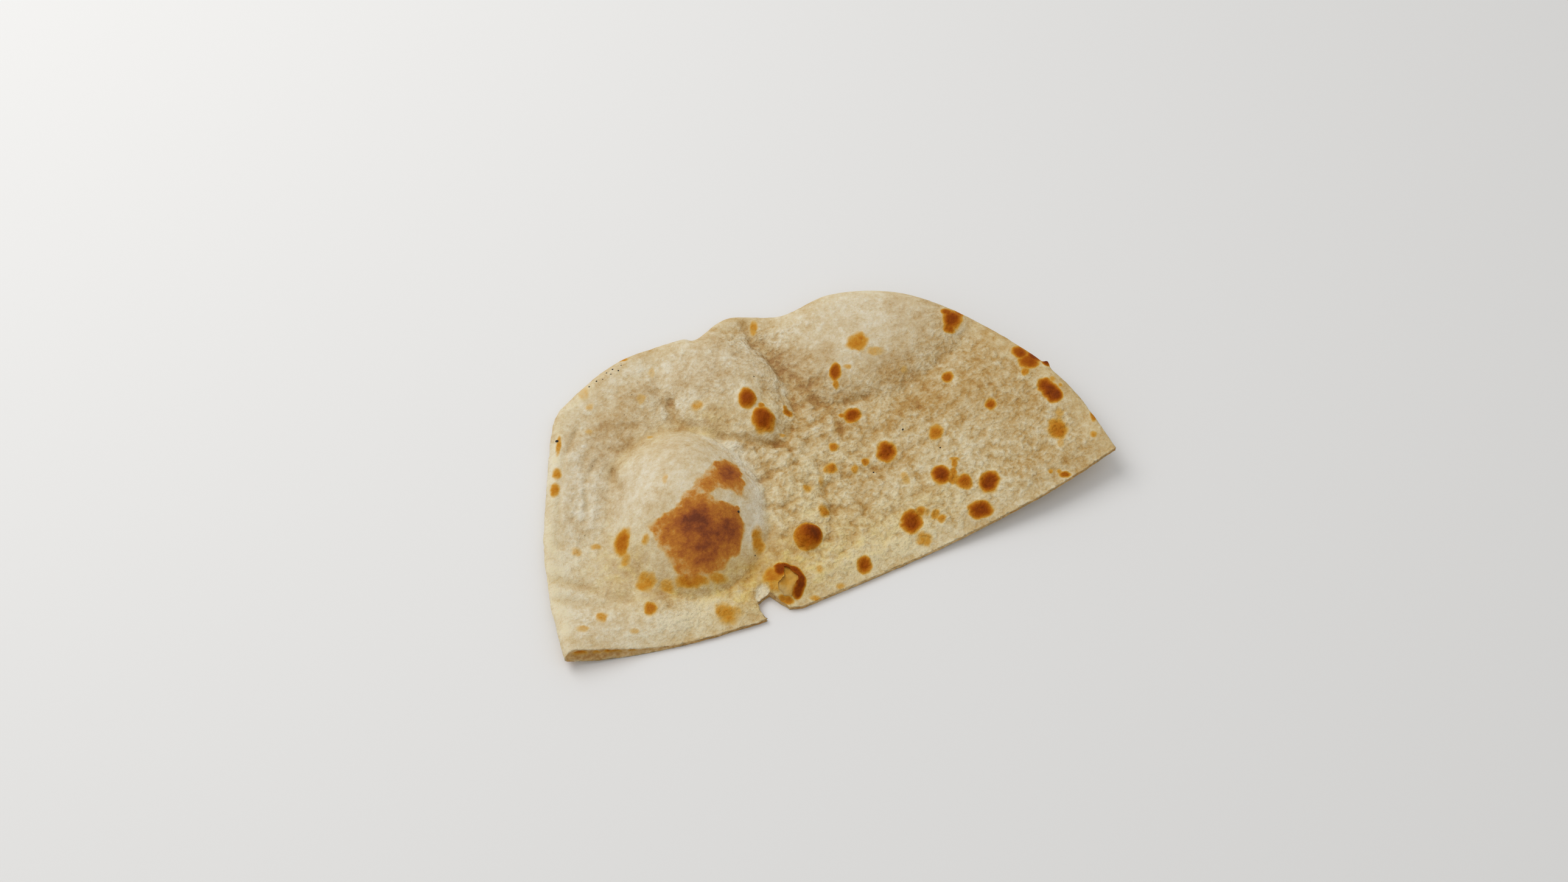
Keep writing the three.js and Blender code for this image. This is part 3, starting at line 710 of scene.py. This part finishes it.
# Painted shade: the hollows' share darkens the skin in hollows and lightens it on crests, and the valleys'
# share tints the valleys yellow.
DRYING_AND_SHADE = {"streaks": 0.05, "hollow_shade": -0.09, "ring": 0.2, "crown_foot": 0.35, "rim_strip": 0.25}
FLOURING = {"crown_foot": 0.9, "pale_streaks": 0.15}
DAMPING_AND_SHADE = {"band": 0.45, "right_rim": 0.35, "valley_shade": 0.18, "rim_strip": 0.4}
TORN_DRYNESS, RING_SMOOTHING = 0.5, 0.6

top_x, top_y = top.T
hollow_shade = np.clip(hollowness(top_x, top_y), *HOLLOW_LIMITS)
bend = ripples(top_x, top_y, STREAK_BEND, 84)
streaks = ripple((top_x - top_y) / STREAK_STEP, (top_x + top_y) / STREAK_LENGTH + bend, 1, 82)
streaks = streaks * soft_step(skin["crown"], *STREAK_CROWN)
left_back = soft_step(top_y, *RIM_STRIP_DEEP) * soft_step(top_x, *RIM_STRIP_ALONG)
forms = {
    "streaks": streaks,
    "pale_streaks": np.maximum(streaks, 0),
    "hollow_shade": hollow_shade,
    "valley_shade": np.maximum(hollow_shade, 0),
    "ring": marks["ring"],
    "crown_foot": fade(from_line(top_x, top_y, CROWN_FOOT_LINE), CROWN_FOOT_WIDTH),
    "band": fade(from_line(top_x, top_y, BAND_BEHIND_CROWN), BAND_WIDTH),
    "right_rim": fade(skin["rim"], RIGHT_RIM_WIDTH) * soft_step(top_x, *RIGHT_RIM_ALONG),
    "rim_strip": fade(skin["rim"] - RIM_STRIP, RIM_STRIP) * left_back,
}


def coloured(patches, shares):
    """Soft patches on the upper skin added up, with a share of each form."""
    total = sum(amount * mound(top_x, top_y, middle, wide, deep) for middle, wide, deep, amount in patches)
    return total + sum(share * forms[form] for form, share in shares.items())


# The dryness and damp levels also carry the painted shade of the hollows, the valleys and the shaded patches.
dry = DRY_MIDDLE + ripples(top_x, top_y, DRY_SWAY, 81) + coloured(PALE_AND_SHADED_PATCHES, DRYING_AND_SHADE)
flour = np.clip(coloured(FLOURY_PATCHES, FLOURING), 0, 1)
damp = coloured(DAMP_PATCHES, DAMPING_AND_SHADE)
# The crease value is painted shade in the creases and painted light on the lump tops, softened on the pale
# rings round the scorches.
top_numbers = add_points(
    top, top_height, toast=marks["toast"], burn=marks["burn"], crumb=skin["torn"],
    dry=dry + TORN_DRYNESS * skin["torn"], flour=flour, damp=damp,
    crease=skin["crease"] * (1 - RING_SMOOTHING * marks["ring"]), lumpy=skin["lumpy"])
faces += list(sheet_faces(top, [top_loop, hole]))

under = np.concatenate([outline, scattered(outline, UNDER_PITCH, 3)])
under_height = lower_skin(under[:, 0], from_rim(*under.T))
under_toast = UNDER_TOAST * soft_step(ripple(*under.T, UNDER_TOAST_SIZE, 91), *UNDER_TOAST_BAND)
under_numbers = add_points(under, under_height, toast=under_toast, dry=DRY_MIDDLE, lumpy=UNDER_LUMPY)
faces += list(under_numbers[sheet_faces(under, [outline])][:, ::-1])

rings = [top_numbers[on_edge]]
wall_hollow = FACE_HOLLOW * open_face + WALL_HOLLOW
steps = length_along(outline)
for row in range(1, WALL_ROWS):
    share = row / WALL_ROWS
    flat = top_loop * (1 - share) + outline * share
    height = top_height[on_edge] * (1 - share) + under_height[on_edge] * share
    pocket = np.zeros(len(outline))
    for place, half_width, half_height, depth in CRUMB_POCKETS:
        reach = np.hypot((outline[:, 0] - place) / half_width, (share - 0.5) / half_height)
        pocket = np.maximum(pocket, depth * soft_step(reach, *CRUMB_POCKET_EDGE) * ~is_rim)
    rough = CRUMB_ROUGHNESS * (ripple(steps, height, CRUMB_GRAIN, 61) - CRUMB_LOW)
    cut_in = wall_hollow * math.sin(share * math.pi)**WALL_FULLNESS
    out = np.where(is_rim, RIM_BULGE * math.sin(share * math.pi), rough - pocket - cut_in)
    # Toast on the rim's wall, and painted shade in the crumb's holes on the cut.
    wall_toast_and_shade = np.where(is_rim, marks["toast"][on_edge] * (1 - share), CRUMB_POCKET_SHADE * pocket)
    rings.append(add_points(
        flat + outline_out * out[:, None], height, toast=wall_toast_and_shade, crumb=~is_rim,
        dry=dry[on_edge] - CRUMB_DARKER * (1 + open_face) * ~is_rim,
        flour=flour[on_edge], damp=damp[on_edge], lumpy=WALL_LUMPY))
faces += ring_faces([*rings, under_numbers[on_edge]])

# The pocket under the burst blister. Each row of its wall: shares of the undercut and of the skin's depth.
POCKET_ROWS = [(0.05, 0.6), (0.7, 0.8), (1.0, 1.0)]
POCKET_ROOM, POCKET_UNDERCUT, POCKET_PITCH = 0.4, 1.0, 0.6
POCKET_SKIN, POCKET_DEPTH, POCKET_SLOPE = 0.8, 2.0, 4.0
POCKET_FLUSH_CORNER, POCKET_FLUSH_REACH, POCKET_LEAN, POCKET_LEAST = (98, -9), 9.0, 0.6, 0.2
POCKET_UNEVEN, POCKET_SWAY = [(2.2, 0.15)], [(2.5, 0.06)]
POCKET_LOOK = {"crumb": 0.2, "dry": 0.35, "damp": 0.6}
POCKET_WALL_TOAST, POCKET_FLOOR_TOAST, POCKET_OPEN_TOAST = 0.2, 0.16, 0.22


def pocket_open(x, y):
    """How far the pocket has sunk under the skin: flush at its front left, open at its back right."""
    from_corner = x - POCKET_FLUSH_CORNER[0] + POCKET_LEAN * (y - POCKET_FLUSH_CORNER[1])
    return at_least(POCKET_LEAST, ease(from_corner / POCKET_FLUSH_REACH))


hole_out = hole - hole.mean(0)
hole_out /= np.hypot(*hole_out.T)[:, None]
room = np.minimum(POCKET_ROOM * nearest(outline)(*hole.T), POCKET_UNDERCUT)
pocket_rings = [top_numbers[on_hole]]
for outward, drop in POCKET_ROWS:
    pocket_loop = hole + hole_out * (room * outward)[:, None]
    lip = np.minimum(top_height[on_hole], upper_skin(*pocket_loop.T)["height"])
    open_there = pocket_open(*pocket_loop.T)
    pocket_rings.append(add_points(
        pocket_loop, lip - drop * POCKET_SKIN * open_there,
        toast=POCKET_WALL_TOAST + POCKET_OPEN_TOAST * open_there, **POCKET_LOOK))
pocket_inner = scattered(pocket_loop, POCKET_PITCH, 4)
open_there = pocket_open(*pocket_inner.T)
slope = ease(nearest(pocket_loop)(*pocket_inner.T) / POCKET_SLOPE)
sunk = POCKET_SKIN + (POCKET_DEPTH - POCKET_SKIN) * slope
bottom = upper_skin(*pocket_inner.T)["height"] - sunk * open_there
bottom = bottom + ripples(*pocket_inner.T, POCKET_UNEVEN, 71)
bottom_toast = POCKET_FLOOR_TOAST + POCKET_OPEN_TOAST * open_there + ripples(*pocket_inner.T, POCKET_SWAY, 72)
inner_numbers = add_points(pocket_inner, bottom, toast=bottom_toast, **POCKET_LOOK)
pocket_flat = np.concatenate([pocket_loop, pocket_inner])
pocket_numbers = np.concatenate([pocket_rings[-1], inner_numbers])
faces += list(pocket_numbers[sheet_faces(pocket_flat, [pocket_loop])])
faces += ring_faces(pocket_rings)


def put(name, data):
    """A new object in the scene."""
    made = bpy.data.objects.new(name, data)
    bpy.context.scene.collection.objects.link(made)
    return made


def new_piece(name, places, faces):
    """A new object with a smooth mesh, from places in millimetres."""
    mesh = bpy.data.meshes.new(name)
    mesh.from_pydata((np.array(places) * MM).tolist(), [], [[int(i) for i in face] for face in faces])
    mesh.validate()
    mesh.update()
    mesh.shade_smooth()
    return put(name, mesh)


places = np.concatenate(points["place"])
places[:, :2] += to_frame
bread = new_piece("naan_bread", places, faces)
for name in POINT_VALUES:
    values = np.concatenate(points[name]).astype(np.float32)
    bread.data.attributes.new(name, "FLOAT", "POINT").data.foreach_set("value", values)

# The baked skin's look
# Pale wheat dough, floury on the bubbles and darker yellow in the creases between lumps, where the colour is
# painted shade, toasting through amber to dark brown where it scorched. The cut shows pale crumb with tan
# holes, their tan a painted shade that deepens with their depth.

# The dough's tones run from the painted shade of deep creases at 0 to dry skin at 1. A dough level of 0 lies
# at DEEPEST.
DEEPEST = 0.28
MOIST_TONES = [
    (0.0, (172, 125, 67)), (0.28, (190, 152, 91)), (0.64, (210, 186, 139)), (1.0, (228, 214, 179)),
]
FLOURY_TONES = [
    (0.0, (169, 134, 94)), (0.28, (190, 163, 121)), (0.64, (212, 194, 159)), (1.0, (229, 220, 197)),
]
DAMP_TINT = (255, 242, 190)
TOAST_TONES = [
    (0.0, (222, 192, 130)), (0.2, (214, 172, 84)), (0.35, (208, 154, 54)), (0.5, (196, 128, 34)),
    (0.65, (174, 96, 10)), (0.8, (152, 72, 2)), (0.92, (130, 56, 4)), (1.0, (112, 50, 12)),
]
BURN_TONES = [
    (0.0, (222, 190, 130)), (0.25, (208, 150, 64)), (0.5, (190, 120, 46)), (0.7, (164, 92, 40)),
    (0.85, (140, 74, 38)), (1.0, (116, 60, 36)),
]
CRUMB_TONES = [(0.2, (176, 130, 72)), (0.5, (208, 172, 114)), (1.0, (232, 219, 186))]
NOISE_CONTRAST = 1.8
# Each noise: its size and its detail. Lumps are pebbles with finer specks in them.
NOISES = {"patches": (13.0, 3.0), "mottle": (4.5, 2.0), "granules": (1.5, 2.0), "grain": (0.5, 2.0)}
PEBBLE_TOP, PEBBLE_FOOT = 0.1, 0.95
PEBBLE_SIZE, PEBBLE_SHARE, SPECKS = 3.4, 0.6, (1.3, 0.0)
# How far each noise sways the toasting, and how much further in the large burn.
TOAST_SWAYS = {"mottle": (0.12, 0.23), "granules": (0.1, 0.06), "grain": (0.08, 0.06), "lumps": (0.06, -0.2)}
# How far each sways the dough's tone and the relief, and how much further where the skin is lumpy.
DOUGH_SWAYS = {
    "patches": (0.45, 0.0), "mottle": (0.4, 0.25), "granules": (0.25, 0.25), "grain": (0.34, 0.0),
    "lumps": (0.15, 0.5),
}
RELIEF_SWAYS = {"granules": (1.4, 0.0), "grain": (0.5, 0.0), "lumps": (0.45, 1.5)}
VEIN_SIZE, VEIN_DETAIL, VEIN_WIDTH, VEIN_DARKER, CREASE_SHADE_DARKER = 7.0, 4.0, 0.03, 0.15, 0.7
FLOUR_SWAY, CRUMB_SWAY = 0.4, 0.5
# The toast levels over which the sways, the skin's toasted colours and the crumb's come in.
SWAY_BAND, TOAST_BAND, CRUMB_TOAST_BAND = (0.05, 0.3), (0.03, 0.46), (0.05, 0.5)
ROUGHNESS, TOAST_SMOOTHING, ROUGHNESS_SWAY = 0.8, 0.25, 0.1
BUMP_STRENGTH, BUMP_LUMPY, BUMP_HEIGHT = 0.34, 0.45, 0.42
GLOSS, GLOW_THROUGH, GLOW_COLOURS, GLOW_DEPTH = 0.07, 0.06, (1.0, 0.55, 0.25), 1.2


def linear(red, green, blue):
    """A colour given as 0 to 255 on screen, as the shader takes it."""
    screen = [channel / 255 for channel in (red, green, blue)]
    return [c / 12.92 if c <= 0.04045 else ((c + 0.055) / 1.055)**2.4 for c in screen] + [1.0]


def new_material(name):
    """A new material, its nodes and its Principled shader."""
    material = bpy.data.materials.new(name)
    material.use_nodes = True
    return material, material.node_tree, material.node_tree.nodes["Principled BSDF"]


def feed(node, inputs):
    """Links a node's sockets to others, or sets their values."""
    for name, value in inputs.items():
        if isinstance(value, bpy.types.NodeSocket):
            node.id_data.links.new(value, node.inputs[name])
        else:
            node.inputs[name].default_value = value


def add_node(tree, kind, inputs, **settings):
    """A new shader node, its sockets linked or set."""
    made = tree.nodes.new("ShaderNode" + kind)
    for name, value in settings.items():
        setattr(made, name, value)
    feed(made, inputs)
    return made


def reckon(tree, operation, a, b, c=0.0):
    """One sum on values."""
    return add_node(tree, "Math", {0: a, 1: b, 2: c}, operation=operation).outputs[0]


def band(tree, value, start, end):
    """A soft step in the shader."""
    inputs = {"Value": value, "From Min": start, "From Max": end}
    return add_node(tree, "MapRange", inputs, interpolation_type="SMOOTHSTEP").outputs["Result"]


def texture(tree, kind, size, output, **inputs):
    """A texture whose cells are about that many millimetres across."""
    place = add_node(tree, "TexCoord", {}).outputs["Object"]
    return add_node(tree, kind, {"Vector": place, "Scale": 1 / (size * MM), **inputs}).outputs[output]


def noise(tree, size, detail):
    """Noise from about 0 to 1."""
    made = texture(tree, "TexNoise", size, "Fac", Detail=detail)
    return reckon(tree, "MULTIPLY_ADD", made, NOISE_CONTRAST, 0.5 - 0.5 * NOISE_CONTRAST)


def pebbles(tree, size):
    """Soft lumps: near 1 on top of each, near 0 where they meet."""
    return band(tree, texture(tree, "TexVoronoi", size, "Distance"), PEBBLE_FOOT, PEBBLE_TOP)


def veins(tree, size):
    """A net of thin wandering lines, 1 on each."""
    made = texture(tree, "TexNoise", size, "Fac", Detail=VEIN_DETAIL)
    off_line = reckon(tree, "ABSOLUTE", reckon(tree, "SUBTRACT", made, 0.5), 0.0)
    return band(tree, off_line, VEIN_WIDTH, 0.0)


def attribute(tree, name):
    """One of the mesh's own point values."""
    return add_node(tree, "Attribute", {}, attribute_name=name).outputs["Fac"]


def swayed(tree, value, noise_value, amount):
    """A value moved up and down by a noise."""
    return reckon(tree, "MULTIPLY_ADD", reckon(tree, "SUBTRACT", noise_value, 0.5), amount, value)


def swayed_by(tree, value, noises, sways, where):
    """A value moved by several noises, each by an amount and by so much more where a value is 1."""
    for name, (amount, more) in sways.items():
        value = swayed(tree, value, noises[name], reckon(tree, "MULTIPLY_ADD", where, more, amount))
    return value


def tones(tree, value, stops):
    """A run of colours along a value."""
    ramp = add_node(tree, "ValToRGB", {"Fac": value})
    elements = ramp.color_ramp.elements
    while len(elements) < len(stops):
        elements.new(0.5)
    for element, (position, colour) in zip(elements, stops):
        element.position = position
        element.color = linear(*colour)
    return ramp.outputs["Color"]


def mixed(tree, share, a, b, blend="MIX"):
    """Two colours mixed."""
    inputs = {0: share, 6: a, 7: b}
    return add_node(tree, "Mix", inputs, data_type="RGBA", blend_type=blend).outputs[2]


skin_look, tree, shader = new_material("baked_naan_skin")
values = {name: attribute(tree, name) for name in POINT_VALUES}
noises = {name: noise(tree, *setting) for name, setting in NOISES.items()}
specks = reckon(tree, "MULTIPLY", noise(tree, *SPECKS), 1 - PEBBLE_SHARE)
noises["lumps"] = reckon(tree, "MULTIPLY_ADD", pebbles(tree, PEBBLE_SIZE), PEBBLE_SHARE, specks)
toast_sway = swayed_by(tree, 0.0, noises, TOAST_SWAYS, values["burn"])
browning = band(tree, values["toast"], *SWAY_BAND)
toast_level = reckon(tree, "MULTIPLY_ADD", toast_sway, browning, values["toast"])
dough_level = swayed_by(tree, values["dry"], noises, DOUGH_SWAYS, values["lumpy"])
# Painted shade in the creases and painted light on the lump tops darken and lighten the dough.
dough_level = reckon(tree, "MULTIPLY_ADD", values["crease"], -CREASE_SHADE_DARKER, dough_level)
dough_level = reckon(tree, "MULTIPLY_ADD", veins(tree, VEIN_SIZE), -VEIN_DARKER, dough_level)
dough_level = reckon(tree, "MULTIPLY_ADD", dough_level, 1 - DEEPEST, DEEPEST)
dough = mixed(tree, swayed(tree, values["flour"], noises["mottle"], FLOUR_SWAY),
              tones(tree, dough_level, MOIST_TONES), tones(tree, dough_level, FLOURY_TONES))
# The damp tint, which in the valleys is painted shade.
damp_share = reckon(tree, "MULTIPLY", values["damp"], noises["mottle"])
dough = mixed(tree, damp_share, dough, linear(*DAMP_TINT), "MULTIPLY")
toasted = mixed(tree, values["burn"],
                tones(tree, toast_level, TOAST_TONES), tones(tree, toast_level, BURN_TONES))
skin_colour = mixed(tree, band(tree, toast_level, *TOAST_BAND), dough, toasted)
crumb_colour = tones(tree, swayed(tree, values["dry"], noises["granules"], CRUMB_SWAY), CRUMB_TONES)
crumb_colour = mixed(tree, band(tree, values["toast"], *CRUMB_TOAST_BAND), crumb_colour, toasted)
roughness = reckon(tree, "MULTIPLY_ADD", toast_level, -TOAST_SMOOTHING, ROUGHNESS)
relief = swayed_by(tree, noises["mottle"], noises, RELIEF_SWAYS, values["lumpy"])
strength = reckon(tree, "MULTIPLY_ADD", values["lumpy"], BUMP_LUMPY, BUMP_STRENGTH)
bump_inputs = {"Strength": strength, "Distance": BUMP_HEIGHT * MM, "Height": relief}
feed(shader, {
    "Base Color": mixed(tree, values["crumb"], skin_colour, crumb_colour),
    "Roughness": swayed(tree, roughness, noises["grain"], ROUGHNESS_SWAY),
    "Normal": add_node(tree, "Bump", bump_inputs).outputs["Normal"],
    "Specular IOR Level": GLOSS,
    "Subsurface Weight": GLOW_THROUGH,
    "Subsurface Radius": GLOW_COLOURS,
    "Subsurface Scale": GLOW_DEPTH * MM,
})
bread.data.materials.append(skin_look)
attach(bread, "root")
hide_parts("naan")

# Flecks of char
# Grains of burnt flour and soot from the oven's wall, most of them a millimetre across or less, stuck to the
# skin. Most lie in a cluster on the back of the rim.

# Each fleck: place and radius.
FLECKS = [
    ((60.8, 130.2), 0.45), ((74.4, 135), 0.5), ((76.6, 133), 0.4), ((71.1, 134.2), 0.35),
    ((65, 131.6), 0.45), ((68, 131.2), 0.3), ((72.6, 132.4), 0.35), ((79, 135.6), 0.3),
    ((36.2, 107.4), 0.8), ((185.2, 47.6), 0.5), ((195.9, 30.3), 0.45), ((163.2, 32.9), 0.45),
    ((95.6, 14.1), 0.4), ((95.5, 31.9), 0.7), ((133, 101), 0.35), ((77.2, 116.9), 0.2),
    ((70, 108.1), 0.2), ((46.5, 88.7), 0.2), ((82.1, 122.5), 0.2), ((30.1, 54.9), 0.2),
]
FLECK_SIDES, FLECK_ROWS = 8, 4
FLECK_LEAST, FLECK_UNEVEN, FLECK_FLATNESS = 0.75, 0.5, 0.6
FLECK_TONES = [(0.0, (30, 24, 18)), (1.0, (46, 36, 26))]
FLECK_NOISE, FLECK_ROUGHNESS = (0.4, 2.0), 0.8

fleck_points, fleck_faces = [], []
for number, (place, radius) in enumerate(FLECKS):
    middle = np.array([*place, *upper_skin(*np.array([place], float).T)["height"]])
    middle[:2] += to_frame
    first = len(fleck_points)
    for row in range(1, FLECK_ROWS):
        tilt = math.pi * row / FLECK_ROWS
        for side in range(FLECK_SIDES):
            turn = 2 * math.pi * side / FLECK_SIDES
            reach = radius * math.sin(tilt) * (FLECK_LEAST + FLECK_UNEVEN * draw(side, row, number))
            rise = FLECK_FLATNESS * radius * math.cos(tilt)
            fleck_points.append(middle + (reach * math.cos(turn), reach * math.sin(turn), rise))
    tip, foot = len(fleck_points), len(fleck_points) + 1
    fleck_points += [middle + (0, 0, FLECK_FLATNESS * radius), middle - (0, 0, FLECK_FLATNESS * radius)]
    rows = [first + row * FLECK_SIDES + np.arange(FLECK_SIDES) for row in range(FLECK_ROWS - 1)]
    fleck_faces += ring_faces(rows[::-1])
    fleck_faces += [(tip, a, b) for a, b in zip(rows[0], np.roll(rows[0], -1))]
    fleck_faces += [(foot, b, a) for a, b in zip(rows[-1], np.roll(rows[-1], -1))]
flecks = new_piece("char_flecks", fleck_points, fleck_faces)
fleck_look, tree, shader = new_material("char")
fleck_colour = tones(tree, noise(tree, *FLECK_NOISE), FLECK_TONES)
feed(shader, {"Base Color": fleck_colour, "Roughness": FLECK_ROUGHNESS})
flecks.data.materials.append(fleck_look)
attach(flecks, "root")
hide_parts("naan")

# The stage
# A plain pale table top, a soft light high behind the bread and an even glow from all round. The camera looks
# down at the photo's angle, from where the left end of the cut shows at its own pixel. The table's sizes are
# in millimetres, the camera's and the light's in metres.

PHOTO_SIZE = (2576, 1449)
FOCAL_PIXELS = 3086.0
LOOK_DOWN = math.radians(55.7)
VIEW_TURN = math.radians(-24.0)
CAMERA_HEIGHT = 0.725
CORNER_PIXEL = (928.4, 1091.0)
SENSOR = 36.0

camera_data = bpy.data.cameras.new("camera")
camera_data.sensor_width = SENSOR
camera_data.lens = SENSOR * FOCAL_PIXELS / PHOTO_SIZE[0]
camera = put("camera", camera_data)
bpy.context.scene.camera = camera
camera.rotation_euler = (math.pi / 2 - LOOK_DOWN, 0, VIEW_TURN)
sight = Vector(((CORNER_PIXEL[0] - PHOTO_SIZE[0] / 2) / FOCAL_PIXELS,
                (PHOTO_SIZE[1] / 2 - CORNER_PIXEL[1]) / FOCAL_PIXELS, -1))
sight = camera.rotation_euler.to_matrix() @ sight
corner = Vector((*(to_frame * MM), 0))
camera.location = corner - sight * (CAMERA_HEIGHT / -sight.z)

FLOOR_REACH, FLOOR_DROP = 4000.0, 0.2
FLOOR_TONE, FLOOR_ROUGHNESS = (236, 235, 233), 0.9
floor_corners = [(x * FLOOR_REACH, y * FLOOR_REACH, 0) for x, y in ((-1, -1), (1, -1), (1, 1), (-1, 1))]
floor = new_piece("table_top", floor_corners, [(0, 1, 2, 3)])
floor.location.z = -FLOOR_DROP * MM
floor_look, tree, shader = new_material("pale_table")
feed(shader, {"Base Color": linear(*FLOOR_TONE), "Roughness": FLOOR_ROUGHNESS})
floor.data.materials.append(floor_look)

LIGHT_PLACE = Vector((-0.45, 0.75, 1.1))
LIGHT_SIZE = 1.0
LIGHT_POWER = 9.6
GLOW, GLOW_COLOUR = 0.55, (1, 1, 1, 1)
light_data = bpy.data.lights.new("window", "AREA")
light_data.energy = LIGHT_POWER
light_data.size = LIGHT_SIZE
light = put("window", light_data)
light.location = LIGHT_PLACE
light.rotation_euler = (-LIGHT_PLACE).to_track_quat("-Z", "Y").to_euler()
world = bpy.data.worlds.new("soft_room")
world.use_nodes = True
feed(world.node_tree.nodes["Background"], {"Color": GLOW_COLOUR, "Strength": GLOW})
bpy.context.scene.world = world
bpy.context.scene.view_settings.view_transform = "Standard"
